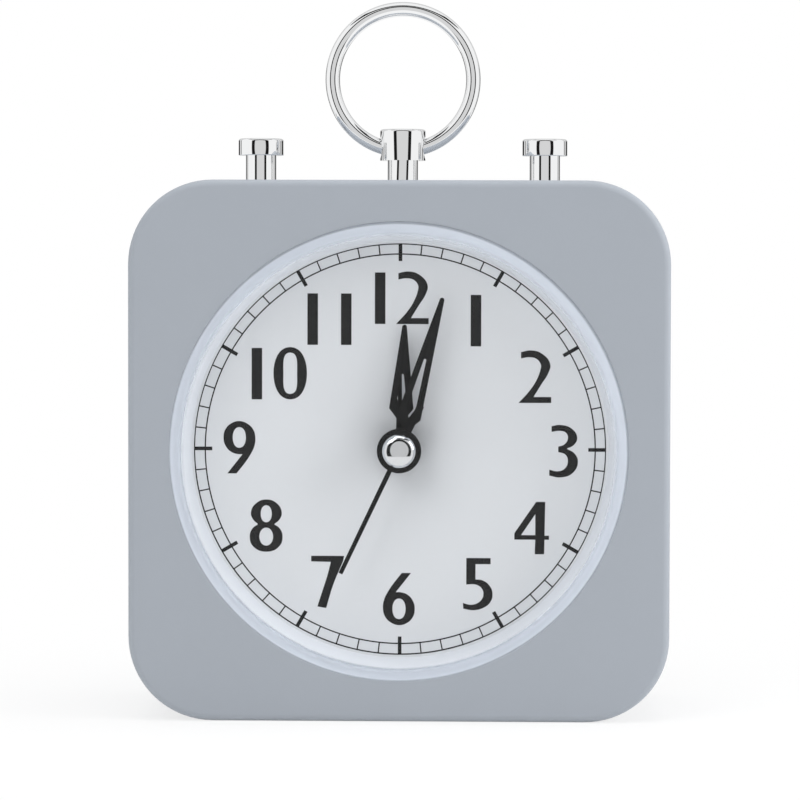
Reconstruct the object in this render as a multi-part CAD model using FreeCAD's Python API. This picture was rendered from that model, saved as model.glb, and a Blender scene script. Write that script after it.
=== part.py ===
import FreeCAD, Part
import math
import os

V = FreeCAD.Vector

# A square table alarm clock: a grey moulded case with a round clear lens, a ring on a post and two push
# buttons on top, and a battery alarm movement inside. Millimetres. X is to the right, Z is up, and the
# dial looks along -Y. The origin is the middle of the case's flat bottom.

# Case
case_width = 100.0
case_height = 100.0
case_depth = 36.0
corner_radius = 15.6
edge_round = 1.4
case_wall = 2.2
cover_depth = 6.0
spigot_depth = 3.0
spigot_wall = 1.4
fit_gap = 0.1
overrun = 1.0
touching = 1e-4
opening_radius = 42.4
pocket_wall = 1.5
case_screw_offset = 41.0
boss_radius = 3.6
case_screw_radius = 1.3
case_screw_length = 14.0
screw_head_radius = 2.5
screw_head_height = 1.6
screw_recess_depth = 3.0
screw_drive_width = 0.7
screw_drive_depth = 0.8
screw_drive_share = 0.6

# Lens
lens_rise = 3.0
lens_crown = 0.4
lens_thick = 1.7
lens_wall = 1.6
lens_round = 2.2
lens_flange_reach = 2.1
flange_thick = 1.4

# Dial and the white ring round it
ring_depth = 4.0
ring_dial_radius = 39.0
ring_lens_radius = 40.6
dial_thick = 0.6
plate_thick = 1.5
plate_side = 78.0
plate_corner = 6.0
plate_screw_offset = 34.5
plate_boss_radius = 2.35
small_screw_radius = 0.9
small_screw_length = 6.0
small_head_radius = 1.7
small_head_height = 1.1
plate_slot_width = 14.0
plate_slot_height = 9.0
plate_slot_lift = 31.0

# Hands
hand_thick = 0.3
hand_step = 1.15
hand_first_lift = 1.0
minute_length = 29.4
minute_wide_at = 6.4
minute_neck_at = 4.5
hour_length = 23.3
hour_wide_at = 7.7
hour_neck_at = 5.9
blade_half_width = 2.26
neck_half_width = 0.82
tip_half_width = 0.44
window_half_width = 0.82
window_tip_half_width = 0.24
minute_window_ends = (17.4, 8.3, 6.3)
hour_window_ends = (13.9, 9.5, 7.4)
hub_ring_radius = 3.2
alarm_length = 17.5
alarm_half_width = 0.5
alarm_tip_half_width = 0.3
second_length = 25.2
second_half_width = 0.46
second_tip_half_width = 0.4
tail_length = 9.3
tail_half_width = 0.7
hub_disc_radius = 4.1
hub_disc_thick = 0.7
cap_radius = 3.2
cap_height = 1.9
cap_rim = 0.4
hour_angle = 2.2
minute_angle = 15.7
second_angle = 205.4
alarm_angle = 0.0

# Nested pipes that carry the hands
running_gap = 0.05
second_arbor_radius = 0.5
minute_pipe_radius = 1.1
hour_pipe_radius = 1.7
alarm_pipe_radius = 2.3
tube_radius = 3.4

# Movement housing
module_height = 56.0
module_wall = 1.4
module_corner = 2.0
train_room = 14.4
module_cover_wall = 1.2
bay_height = 17.2
bay_depth = 17.2
lug_reach = 6.0
lug_height = 9.0

# Gears. Teeth counts and tooth sizes come in pairs that share a distance between their axes.
train_distance = 8.16
seconds_distance = 8.4
rotor_distance = 5.76
motion_distance = 8.64
knob_offset = 14.0
rotor_leaves = 6
intermediate_teeth = 30
intermediate_leaves = 6
second_teeth = 36
second_leaves = 6
third_teeth = 45
third_leaves = 6
centre_teeth = 48
cannon_teeth = 12
motion_teeth = 36
motion_leaves = 10
hour_teeth = 40
setting_teeth = 12
alarm_teeth = 32
third_bearing = 70.0
intermediate_bearing = 140.0
rotor_bearing = 100.0
wheel_thick = 0.8
motion_wheel_thick = 1.0
layer_gap = 0.3
arbor_radius = 0.4
pivot_depth = 0.8
train_plate_thick = 1.0
train_plate_reach = 22.0
train_post_rise = 18.0
rim_share = 0.72
hub_share = 0.3
spoke_share = 0.16
addendum_share = 0.72
dedendum_share = 1.0
tooth_root_share = 0.25
tooth_tip_share = 0.09
leaf_root_share = 0.19
leaf_tip_share = 0.08

# Step motor and circuit
magnet_radius = 1.9
magnet_length = 1.6
magnet_gap = 0.4
stator_thick = 0.8
stator_width = 5.4
stator_neck = 0.9
coil_radius = 2.6
coil_length = 15.0
coil_flange_radius = 3.0
coil_flange_thick = 0.8
coil_rise = 21.0
coil_right_end = 1.0
core_thick = 0.8
core_width = 2.4
stator_post_rise = 24.6
stator_post_radius = 1.1
stator_pin_radius = 0.5
board_thick = 1.0
board_width = 16.0
board_height = 15.0
board_side_gap = 1.0
board_top_gap = 0.2
crystal_radius = 1.0
crystal_length = 6.0
chip_radius = 2.6
chip_height = 1.0

# Setting shafts and knobs
shaft_radius = 1.5
shaft_pivot_radius = 0.8
knob_radius = 6.0
knob_height = 5.6
knob_clearance = 0.5
knob_bore_depth = 3.6
knob_flutes = 16
knob_flute_radius = 0.7
knob_edge = 0.6
knob_hole_radius = 1.9

# Battery, its contacts and its door
battery_radius = 7.05
battery_length = 49.2
battery_nub_radius = 2.6
battery_nub_height = 1.1
battery_spring_room = 2.1
battery_back = 3.1
battery_edge = 0.5
contact_thick = 0.4
contact_side = 10.0
contact_tail = 9.0
contact_tail_width = 3.0
battery_coil_wire = 0.3
battery_coil_radius = 3.9
battery_coil_end_radius = 1.9
battery_coil_turns = 2
door_side_margin = 0.2
door_low_margin = 0.4
door_high_margin = 0.2
door_thick = 2.0
door_gap = 0.25
tongue_width = 6.0
tongue_spacing = 32.0
tongue_thick = 1.1
tongue_drop = 1.6
latch_width = 9.0
latch_slot_depth = 1.0
rib_width = 1.2
rib_spacing = 22.0
rib_clear = 0.5

# Buzzer and alarm switch
buzzer_radius = 10.0
buzzer_height = 3.0
buzzer_hole_radius = 2.5
buzzer_x = -20.0
buzzer_z = 70.0
grille_slots = 5
grille_pitch = 2.8
grille_slot = 1.2
grille_share = 0.7
switch_x = 20.0
switch_z = 72.0
switch_travel = 4.0
slider_width = 5.0
slider_height = 3.6
slider_rise = 1.4
slider_flange = 1.5
slider_flange_thick = 1.2
slider_grooves = 3
switch_body_height = 9.0
switch_body_width = 20.0
switch_body_depth = 4.0

# Ring post
button_spacing = 53.8
post_radius = 2.9
post_stem_height = 4.0
post_head_radius = 4.35
post_head_height = 5.9
post_edge = 0.5
ring_hole_lift = 2.35
ring_hole_radius = 1.95
hole_flare = 0.45
thread_radius = 2.0
thread_length = 7.0
washer_radius = 4.2
washer_thick = 0.8
nut_flats = 7.0
nut_height = 3.0
carry_ring_radius = 13.32
carry_wire_radius = 1.38

# Push buttons
button_head_radius = 4.3
button_head_height = 3.2
button_stem_height = 4.9
button_stem_radius = 2.9
button_edge = 0.5
button_shoulder_drop = 2.8
button_pin_radius = 1.4
button_travel = 2.2
clip_radius = 4.1
clip_thick = 0.8
clip_groove_depth = 0.6
clip_mouth = 3.0
well_side = 12.4
well_wall = 1.2
spring_length = 5.4
shelf_thick = 1.2
spring_wire = 0.25
spring_coil_radius = 2.05
spring_turns = 5
coil_steps = 4
coil_samples = 48
pin_clearance = 0.1
switch_side = 6.0
switch_height = 3.5
switch_cap_radius = 1.7
switch_cap_height = 1.5
board_screw_offset = 16.0
board_boss_radius = 2.4
board_margin = 6.0
top_board_depth = 11.0
top_board_thick = 1.6
lamp_radius = 1.0
lamp_length = 2.8
lamp_lead = 0.25
lamp_lead_spacing = 1.27
lamp_lead_rise = 0.8
lamp_lead_back = 5.0
bend_share = 0.45

# Stations along Y, front to back
front_y = -case_depth / 2
rear_y = case_depth / 2
wall_y = front_y + case_wall
flange_y = wall_y + flange_thick
dial_y = flange_y + ring_depth
dial_back_y = dial_y + dial_thick
plate_y = dial_back_y + plate_thick
module_y = plate_y
inside_y = module_y + module_wall
alarm_wheel_y = inside_y + layer_gap
hour_wheel_y = alarm_wheel_y + wheel_thick + layer_gap
motion_wheel_y = hour_wheel_y + wheel_thick + 2 * layer_gap
train_plate_y = motion_wheel_y + motion_wheel_thick + 2 * layer_gap
centre_wheel_y = train_plate_y + train_plate_thick + layer_gap
third_wheel_y = centre_wheel_y + wheel_thick + 2 * layer_gap
second_wheel_y = third_wheel_y + wheel_thick + 2 * layer_gap
intermediate_wheel_y = second_wheel_y + wheel_thick + 2 * layer_gap
magnet_y = intermediate_wheel_y + wheel_thick + 2 * layer_gap
stator_y = magnet_y + (magnet_length - stator_thick) / 2
cover_inside_y = inside_y + train_room
cover_back_y = cover_inside_y + module_cover_wall
parting_y = rear_y - cover_depth
rear_wall_y = rear_y - case_wall

# Places across the clock
mid_z = case_height / 2
top_z = case_height
ceiling_z = case_height - case_wall
pocket_radius = opening_radius + lens_flange_reach + fit_gap
spring_seat_z = ceiling_z - button_shoulder_drop - spring_length
shelf_z = spring_seat_z - shelf_thick
top_board_z = mid_z + module_height / 2 + layer_gap + small_head_height + top_board_thick
switch_top_z = top_board_z + switch_height + switch_cap_height
pin_end_z = switch_top_z + pin_clearance + button_travel
bay_floor_z = mid_z - module_height / 2
bay_top_z = bay_floor_z + bay_height
battery_z = bay_floor_z + bay_height / 2
battery_shift = (battery_spring_room - battery_nub_height) / 2
contact_span = battery_length + battery_nub_height + battery_spring_room
module_width = contact_span + 2 * contact_thick + 2 * module_wall
door_width = module_width + 2 * door_side_margin
door_bottom = bay_floor_z - door_low_margin
door_height = bay_height + door_low_margin + door_high_margin

board_right = module_width / 2 - module_wall - board_side_gap
board_top = mid_z + module_height / 2 - module_wall - board_top_gap


def box(x0, x1, y0, y1, z0, z1):
    return Part.makeBox(x1 - x0, y1 - y0, z1 - z0, V(x0, y0, z0))


def rod_y(x, z, radius, y0, y1):
    return Part.makeCylinder(radius, y1 - y0, V(x, y0, z), V(0, 1, 0))


def rod_z(x, y, radius, z0, z1):
    return Part.makeCylinder(radius, z1 - z0, V(x, y, z0), V(0, 0, 1))


def rod_x(y, z, radius, x0, x1):
    return Part.makeCylinder(radius, x1 - x0, V(x0, y, z), V(1, 0, 0))


def tube_y(x, z, outer, inner, y0, y1):
    return rod_y(x, z, outer, y0, y1).cut(rod_y(x, z, inner, y0 - overrun, y1 + overrun))


def fused(shapes):
    shapes = list(shapes)
    return shapes[0].fuse(shapes[1:]).removeSplitter() if len(shapes) > 1 else shapes[0]


def prism_y(points, y0, y1):
    """A prism along Y on a closed outline of (x, z) points."""
    wire = Part.makePolygon([V(x, y0, z) for x, z in points + points[:1]])
    return Part.Face(wire).extrude(V(0, y1 - y0, 0))


def rounded_square_y(half_x, half_z, radius, y0, y1, z):
    """A prism along Y whose section is a rectangle with round corners, centred on x = 0."""
    block = box(-half_x, half_x, y0, y1, z - half_z, z + half_z)
    return block.makeFillet(radius, edges_along_y(block))


def turned(profile, base, axis):
    """A solid of revolution from a closed wire that lies beside its axis."""
    return Part.Face(profile).revolve(base, axis, 360)


def path(points, bulges=()):
    """A closed wire through points, straight but for the arcs in bulges: {index: point on the arc}."""
    bulges = dict(bulges)
    edges = []
    for i, start in enumerate(points):
        end = points[(i + 1) % len(points)]
        if i in bulges:
            edges.append(Part.Arc(start, bulges[i], end).toShape())
        else:
            edges.append(Part.makeLine(start, end))
    return Part.Wire(edges)


def dome_middle(radius, rise):
    """A point halfway out on a ball-shaped dome: its radius, and how far it is below the dome's top."""
    ball = (radius ** 2 + rise ** 2) / (2 * rise)
    return radius / 2, ball - math.sqrt(ball ** 2 - (radius / 2) ** 2)


def corners_xz(offset):
    return [(sx * offset, mid_z + sz * offset) for sx in (-1, 1) for sz in (-1, 1)]


def edges_at_y(shape, y):
    """The edges that lie in the plane at y."""
    spans = [(e, e.BoundBox) for e in shape.Edges]
    return [e for e, b in spans if abs(b.YMin - y) < touching and abs(b.YMax - y) < touching]


def edges_at_z(shape, z):
    """The edges that lie in the plane at z."""
    spans = [(e, e.BoundBox) for e in shape.Edges]
    return [e for e, b in spans if abs(b.ZMin - z) < touching and abs(b.ZMax - z) < touching]


def edges_along_y(shape):
    """The straight edges that run from front to back."""
    return [e for e in shape.Edges if e.BoundBox.XLength < touching and e.BoundBox.ZLength < touching]


def screw_y(x, z, head_y, head_radius, head_height, shank_radius, length, toward):
    """A screw along Y with a crossed drive. toward is -1 where it is driven towards the dial."""
    head = rod_y(x, z, head_radius, min(head_y, head_y - toward * head_height),
                 max(head_y, head_y - toward * head_height))
    shank = rod_y(x, z, shank_radius, min(head_y, head_y + toward * length),
                  max(head_y, head_y + toward * length))
    top = head_y - toward * head_height
    deep = top + toward * min(screw_drive_depth, head_height / 2)
    low, high = min(top, deep) - overrun * (toward > 0), max(top, deep) + overrun * (toward < 0)
    arm = head_radius * screw_drive_share
    half = screw_drive_width / 2
    cross = box(x - arm, x + arm, low, high, z - half, z + half)
    cross = cross.fuse(box(x - half, x + half, low, high, z - arm, z + arm))
    return head.fuse(shank).cut(cross).removeSplitter()


# Case

def build_front_housing():
    half_x, half_z = case_width / 2, case_height / 2
    outer = rounded_square_y(half_x, half_z, corner_radius, front_y, parting_y, mid_z)
    outer = outer.makeFillet(edge_round, edges_at_y(outer, front_y))
    inner = rounded_square_y(half_x - case_wall, half_z - case_wall, corner_radius - case_wall,
                             wall_y, parting_y + overrun, mid_z)
    shell = outer.cut(inner)
    pocket = tube_y(0, mid_z, pocket_radius + pocket_wall, pocket_radius, wall_y, dial_back_y)
    pieces = [shell, pocket]
    for x, z in corners_xz(case_screw_offset):
        pieces.append(rod_y(x, z, boss_radius, wall_y, parting_y - spigot_depth))
    for x, z in corners_xz(plate_screw_offset):
        pieces.append(rod_y(x, z, plate_boss_radius, wall_y, dial_back_y))
    half_well = well_side / 2
    for side in (-1, 1):
        x = side * button_spacing / 2
        pieces.append(box(x - half_well, x + half_well, -half_well, half_well,
                          top_board_z, ceiling_z))
        pieces.append(rod_z(side * board_screw_offset, 0, board_boss_radius, top_board_z, ceiling_z))
    body = fused(pieces)
    cuts = [rod_y(0, mid_z, opening_radius, front_y - overrun, wall_y + overrun)]
    cuts.append(rod_y(0, mid_z, pocket_radius, wall_y, dial_back_y + overrun))
    inside = half_well - well_wall
    for side in (-1, 1):
        x = side * button_spacing / 2
        cuts.append(box(x - inside, x + inside, -inside, inside, spring_seat_z, ceiling_z))
        cuts.append(box(x - inside, x + inside, -inside, inside, top_board_z - overrun, shelf_z))
        cuts.append(rod_z(x, 0, button_pin_radius + fit_gap, shelf_z - overrun, spring_seat_z + overrun))
        cuts.append(rod_z(x, 0, button_stem_radius + running_gap, ceiling_z - overrun, top_z + overrun))
        cuts.append(rod_z(side * board_screw_offset, 0, small_screw_radius, top_board_z - overrun,
                          top_board_z + small_screw_length - top_board_thick))
    cuts.append(rod_z(0, 0, thread_radius, ceiling_z - overrun, top_z + overrun))
    for x, z in corners_xz(case_screw_offset):
        cuts.append(rod_y(x, z, case_screw_radius, parting_y - spigot_depth - case_screw_length,
                          parting_y + overrun))
    for x, z in corners_xz(plate_screw_offset):
        cuts.append(rod_y(x, z, small_screw_radius, dial_back_y - small_screw_length + plate_thick,
                          dial_back_y + overrun))
    for cut in cuts:
        body = body.cut(cut)
    return body.removeSplitter()


def door_opening():
    return box(-door_width / 2, door_width / 2, rear_wall_y - overrun, rear_y + overrun,
               door_bottom, door_bottom + door_height)


def build_rear_cover():
    half_x, half_z = case_width / 2, case_height / 2
    outer = rounded_square_y(half_x, half_z, corner_radius, parting_y, rear_y, mid_z)
    outer = outer.makeFillet(edge_round, edges_at_y(outer, rear_y))
    inner = rounded_square_y(half_x - case_wall, half_z - case_wall, corner_radius - case_wall,
                             parting_y - overrun, rear_wall_y, mid_z)
    shell = outer.cut(inner)
    lip_outer = case_wall + fit_gap
    lip = rounded_square_y(half_x - lip_outer, half_z - lip_outer, corner_radius - lip_outer,
                           parting_y - spigot_depth, rear_wall_y, mid_z)
    lip_inner = lip_outer + spigot_wall
    lip = lip.cut(rounded_square_y(half_x - lip_inner, half_z - lip_inner, corner_radius - lip_inner,
                                   parting_y - spigot_depth - overrun, rear_wall_y, mid_z))
    pieces = [shell, lip]
    for x, z in corners_xz(case_screw_offset):
        pieces.append(rod_y(x, z, boss_radius, parting_y - spigot_depth, rear_wall_y))
    tongue_room = door_bottom - tongue_drop - door_gap
    rim = box(-door_width / 2 - rib_width, door_width / 2 + rib_width, cover_back_y + rib_width,
              rear_wall_y, tongue_room - rib_width, door_bottom + door_height + rib_width)
    room = box(-door_width / 2, door_width / 2, cover_back_y, rear_wall_y,
               tongue_room, door_bottom + door_height)
    pieces.append(rim.cut(room))
    pieces.append(tube_y(buzzer_x, buzzer_z, buzzer_radius + fit_gap + pocket_wall, buzzer_radius + fit_gap,
                         rear_wall_y - buzzer_height, rear_wall_y))
    body = fused(pieces)
    cuts = [door_opening()]
    for x, z in corners_xz(case_screw_offset):
        cuts.append(rod_y(x, z, case_screw_radius + fit_gap, parting_y - spigot_depth - overrun,
                          rear_y + overrun))
        cuts.append(rod_y(x, z, screw_head_radius + fit_gap, rear_y - screw_recess_depth, rear_y + overrun))
    for x in (-knob_offset, knob_offset):
        cuts.append(rod_y(x, mid_z, knob_hole_radius, rear_wall_y - overrun, rear_y + overrun))
    slot_half = buzzer_radius * grille_share
    for i in range(grille_slots):
        z = buzzer_z + (i - (grille_slots - 1) / 2) * grille_pitch
        cuts.append(box(buzzer_x - slot_half, buzzer_x + slot_half, rear_wall_y - overrun, rear_y + overrun,
                        z - grille_slot / 2, z + grille_slot / 2))
    reach = (slider_width + switch_travel) / 2 + fit_gap
    cuts.append(box(switch_x - reach, switch_x + reach, rear_wall_y - overrun, rear_y + overrun,
                    switch_z - slider_height / 2 - fit_gap, switch_z + slider_height / 2 + fit_gap))
    for cut in cuts:
        body = body.cut(cut)
    return body.removeSplitter()


def build_battery_door():
    half = door_width / 2 - door_gap
    low, high = door_bottom + door_gap / 2, door_bottom + door_height - door_gap
    leaf = box(-half, half, rear_y - door_thick, rear_y, low, high)
    pieces = [leaf]
    tongue_back = rear_wall_y - fit_gap
    for side in (-1, 1):
        x = side * tongue_spacing / 2
        pieces.append(box(x - tongue_width / 2, x + tongue_width / 2, tongue_back - tongue_thick,
                          rear_y - door_thick, low, low + tongue_drop))
        pieces.append(box(x - tongue_width / 2, x + tongue_width / 2, tongue_back - tongue_thick,
                          tongue_back, door_bottom - tongue_drop, low + tongue_drop))
        rib_x = side * rib_spacing / 2
        seat = box(rib_x - rib_width / 2, rib_x + rib_width / 2, battery_back, rear_y - door_thick,
                   battery_z - battery_radius / 2, battery_z + battery_radius / 2)
        pieces.append(seat.cut(rod_x(battery_back, battery_z, battery_radius + rib_clear,
                                     rib_x - overrun, rib_x + overrun)))
    leaf = fused(pieces)
    notch = box(-latch_width / 2, latch_width / 2, rear_y - latch_slot_depth, rear_y + overrun,
                high - 2 * latch_slot_depth, high + overrun)
    return leaf.cut(notch).removeSplitter()


def build_case_screws():
    shapes = []
    for x, z in corners_xz(case_screw_offset):
        shapes.append(screw_y(x, z, rear_y - screw_recess_depth, screw_head_radius, screw_head_height,
                              case_screw_radius, case_screw_length, -1))
    return Part.makeCompound(shapes)


# Lens, dial and what holds them

def build_lens():
    outer = opening_radius - fit_gap
    inner = outer - lens_wall
    top = front_y - lens_rise
    crown_top = top - lens_crown
    under = top + lens_thick
    under_crown = under - lens_crown
    flat = outer - lens_round
    soft = lens_round - lens_wall
    diag = lens_round * (1 - math.sqrt(1 / 2))
    soft_diag = soft * (1 - math.sqrt(1 / 2))
    outer_at, outer_drop = dome_middle(flat, lens_crown)
    inner_at, inner_drop = dome_middle(inner - soft, lens_crown)

    def p(r, y):
        return V(r, y, mid_z)

    points = [
        p(0, crown_top), p(flat, top), p(outer, top + lens_round), p(outer, wall_y),
        p(pocket_radius - fit_gap, wall_y), p(pocket_radius - fit_gap, flange_y), p(inner, flange_y),
        p(inner, under + soft), p(inner - soft, under), p(0, under_crown),
    ]
    arcs = {
        0: p(outer_at, crown_top + outer_drop),
        1: p(outer - diag, top + diag),
        7: p(inner - soft_diag, under + soft_diag),
        8: p(inner_at, under_crown + inner_drop),
    }
    return turned(path(points, arcs), V(0, 0, mid_z), V(0, 1, 0))


def build_dial_ring():
    outer = pocket_radius - fit_gap

    def p(r, y):
        return V(r, y, mid_z)

    wire = path([p(ring_lens_radius, flange_y), p(outer, flange_y), p(outer, dial_y),
                 p(ring_dial_radius, dial_y)])
    ring = turned(wire, V(0, 0, mid_z), V(0, 1, 0))
    half = lamp_radius + fit_gap
    tip = lamp_place()[1] - lamp_length
    notch = box(-half, half, dial_y - 2 * half, dial_y + overrun, tip - fit_gap, mid_z + outer + overrun)
    return ring.cut(notch)


def build_dial():
    dial = rod_y(0, mid_z, pocket_radius - fit_gap, dial_y, dial_back_y)
    hole = rod_y(0, mid_z, tube_radius + fit_gap, dial_y - overrun, dial_back_y + overrun)
    half = lamp_lead_spacing
    notch = box(-half, half, dial_y - overrun, dial_back_y + overrun,
                lamp_place()[1], mid_z + pocket_radius + overrun)
    return dial.cut(hole).cut(notch)


def build_mounting_plate():
    half = plate_side / 2
    plate = rounded_square_y(half, half, plate_corner, dial_back_y, plate_y, mid_z)
    cuts = [rod_y(0, mid_z, tube_radius + fit_gap, dial_back_y - overrun, plate_y + overrun)]
    for x, z in corners_xz(plate_screw_offset):
        cuts.append(rod_y(x, z, small_screw_radius + fit_gap, dial_back_y - overrun, plate_y + overrun))
    for side in (-1, 1):
        z = mid_z + side * plate_slot_lift
        cuts.append(box(-plate_slot_width / 2, plate_slot_width / 2, dial_back_y - overrun,
                        plate_y + overrun, z - plate_slot_height / 2, z + plate_slot_height / 2))
        x = side * (module_width + lug_reach) / 2
        cuts.append(rod_y(x, mid_z, small_screw_radius, dial_back_y - overrun, plate_y + overrun))
    for cut in cuts:
        plate = plate.cut(cut)
    return plate


def build_plate_screws():
    shapes = []
    for x, z in corners_xz(plate_screw_offset):
        shapes.append(screw_y(x, z, plate_y, small_head_radius, small_head_height,
                              small_screw_radius, small_screw_length, -1))
    return Part.makeCompound(shapes)


def build_module_screws():
    shapes = []
    for side in (-1, 1):
        x = side * (module_width + lug_reach) / 2
        shapes.append(screw_y(x, mid_z, module_y + module_wall, small_head_radius, small_head_height,
                              small_screw_radius, module_wall + plate_thick, -1))
    return Part.makeCompound(shapes)


# Hands. Each is drawn pointing up, then turned clockwise as seen from the front.

def hand_y(level):
    """The front face of a hand, counted from the one nearest the dial."""
    return dial_y - hand_first_lift - hand_thick - level * hand_step


def clockwise(shape, degrees):
    turned_shape = shape.copy()
    turned_shape.rotate(V(0, 0, mid_z), V(0, 1, 0), degrees)
    return turned_shape


def lance(length, wide_at, neck_at, window, y):
    """A lance-shaped hand with a long window and a ring round its pipe."""
    tip = length - tip_half_width
    right = [(neck_half_width, 0), (neck_half_width, neck_at), (blade_half_width, wide_at),
             (tip_half_width, tip)]
    points = [V(x, y, mid_z + z) for x, z in right] + [V(-x, y, mid_z + z) for x, z in reversed(right)]
    blade = Part.Face(path(points, {3: V(0, y, mid_z + length)})).extrude(V(0, hand_thick, 0))
    far, wide, near = window
    open_points = [V(0, y, mid_z + near), V(window_half_width, y, mid_z + wide),
                   V(window_tip_half_width, y, mid_z + far), V(-window_tip_half_width, y, mid_z + far),
                   V(-window_half_width, y, mid_z + wide)]
    end = {2: V(0, y, mid_z + far + window_tip_half_width)}
    hole = Part.Face(path(open_points, end)).extrude(V(0, hand_thick, 0))
    ring = rod_y(0, mid_z, hub_ring_radius, y, y + hand_thick)
    return blade.cut(hole).fuse(ring)


def build_alarm_hand():
    y = hand_y(0)
    points = [(alarm_half_width, 0), (alarm_tip_half_width, alarm_length),
              (-alarm_tip_half_width, alarm_length), (-alarm_half_width, 0)]
    hand = prism_y([(x, mid_z + z) for x, z in points], y, y + hand_thick)
    hand = hand.fuse(rod_y(0, mid_z, hub_ring_radius, y, y + hand_thick))
    hand = hand.cut(rod_y(0, mid_z, alarm_pipe_radius, y - overrun, y + hand_thick + overrun))
    return clockwise(hand.removeSplitter(), alarm_angle)


def build_hour_hand():
    y = hand_y(1)
    hand = lance(hour_length, hour_wide_at, hour_neck_at, hour_window_ends, y)
    hand = hand.cut(rod_y(0, mid_z, hour_pipe_radius, y - overrun, y + hand_thick + overrun))
    return clockwise(hand.removeSplitter(), hour_angle)


def build_minute_hand():
    y = hand_y(2)
    hand = lance(minute_length, minute_wide_at, minute_neck_at, minute_window_ends, y)
    hand = hand.cut(rod_y(0, mid_z, minute_pipe_radius, y - overrun, y + hand_thick + overrun))
    return clockwise(hand.removeSplitter(), minute_angle)


def build_second_hand():
    y = hand_y(3)
    points = [(second_half_width, 0), (second_tip_half_width, second_length),
              (-second_tip_half_width, second_length), (-second_half_width, 0),
              (-tail_half_width, -tail_length), (tail_half_width, -tail_length)]
    hand = prism_y([(x, mid_z + z) for x, z in points], y, y + hand_thick)
    disc = rod_y(0, mid_z, hub_disc_radius, y + hand_thick - hub_disc_thick, y + hand_thick)
    hand = hand.fuse(disc)
    hand = hand.cut(rod_y(0, mid_z, second_arbor_radius, y - overrun, y + hand_thick + overrun))
    return clockwise(hand.removeSplitter(), second_angle)


def build_hub_cap():
    base = hand_y(3) + hand_thick - hub_disc_thick

    def p(r, y):
        return V(r, y, mid_z)

    rim = base - cap_rim
    crown = base - cap_height
    at, drop = dome_middle(cap_radius, cap_height - cap_rim)
    wire = path([p(0, crown), p(cap_radius, rim), p(cap_radius, base), p(0, base)],
                {0: p(at, crown + drop)})
    return turned(wire, V(0, 0, mid_z), V(0, 1, 0))


# Gears

def toothed(teeth, pitch_radius, phase, y0, y1, x, z, root_share, tip_share):
    """A straight toothed disc. phase is the angle, in degrees from +X towards +Z, of one tooth."""
    module = 2 * pitch_radius / teeth
    tip = pitch_radius + addendum_share * module
    root = pitch_radius - dedendum_share * module
    step = 360 / teeth
    points = []
    for i in range(teeth):
        for radius, offset in ((root, -root_share), (tip, -tip_share), (tip, tip_share), (root, root_share)):
            angle = math.radians(phase + (i + offset) * step)
            points.append((x + radius * math.cos(angle), z + radius * math.sin(angle)))
    return prism_y(points, y0, y1)


def wheel(teeth, pitch_radius, phase, y0, y1, x, z):
    return toothed(teeth, pitch_radius, phase, y0, y1, x, z, tooth_root_share, tooth_tip_share)


def pinion(teeth, pitch_radius, phase, y0, y1, x, z):
    return toothed(teeth, pitch_radius, phase, y0, y1, x, z, leaf_root_share, leaf_tip_share)


def spoked(disc, pitch_radius, y0, y1, x, z, spokes=4):
    """A disc with its web cut away between a rim, a hub and its spokes."""
    outer = pitch_radius * rim_share
    inner = pitch_radius * hub_share
    window = tube_y(x, z, outer, inner, y0 - overrun, y1 + overrun)
    half = pitch_radius * spoke_share / 2
    for i in range(spokes // 2):
        bar = box(x - pitch_radius, x + pitch_radius, y0 - overrun, y1 + overrun, z - half, z + half)
        bar.rotate(V(x, 0, z), V(0, 1, 0), i * 360 / spokes)
        window = window.cut(bar)
    return disc.cut(window)


def mesh_phase(phase, teeth, other_teeth, bearing):
    """The other gear's phase, so that its gap meets this gear's tooth along the line of centres."""
    share = (bearing - phase) * teeth / 360
    return bearing + 180 - (0.5 - share) * 360 / other_teeth


def pair_radii(distance, teeth, other_teeth):
    return distance * teeth / (teeth + other_teeth), distance * other_teeth / (teeth + other_teeth)


def along(x, z, distance, bearing):
    angle = math.radians(bearing)
    return x + distance * math.cos(angle), z + distance * math.sin(angle)


motion_bearing = math.degrees(math.acos(knob_offset / 2 / motion_distance))
third_at = along(0, mid_z, train_distance, third_bearing)
intermediate_at = along(0, mid_z, seconds_distance, intermediate_bearing)
rotor_at = along(intermediate_at[0], intermediate_at[1], rotor_distance, rotor_bearing)
motion_at = along(0, mid_z, motion_distance, motion_bearing)
time_at = (knob_offset, mid_z)
alarm_at = (-knob_offset, mid_z)

centre_radius, third_leaf_radius = pair_radii(train_distance, centre_teeth, third_leaves)
second_leaf_radius, third_radius = pair_radii(train_distance, second_leaves, third_teeth)
second_radius, intermediate_leaf_radius = pair_radii(seconds_distance, second_teeth, intermediate_leaves)
intermediate_radius, rotor_leaf_radius = pair_radii(rotor_distance, intermediate_teeth, rotor_leaves)
cannon_radius, motion_radius = pair_radii(motion_distance, cannon_teeth, motion_teeth)
hour_radius, motion_leaf_radius = pair_radii(motion_distance, hour_teeth, motion_leaves)
setting_radius = motion_distance * setting_teeth / (setting_teeth + motion_teeth)
alarm_radius = knob_offset / 2


def build_second_wheel():
    y = second_wheel_y
    disc = spoked(wheel(second_teeth, second_radius, intermediate_bearing, y, y + wheel_thick, 0, mid_z),
                  second_radius, y, y + wheel_thick, 0, mid_z)
    leaves = pinion(second_leaves, second_leaf_radius, third_bearing + 180 / second_leaves,
                    third_wheel_y - layer_gap / 2, y, 0, mid_z)
    tip = hand_y(3) + hand_thick - hub_disc_thick
    arbor = rod_y(0, mid_z, second_arbor_radius, tip, cover_inside_y + pivot_depth)
    return fused([disc, leaves, arbor])


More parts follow.
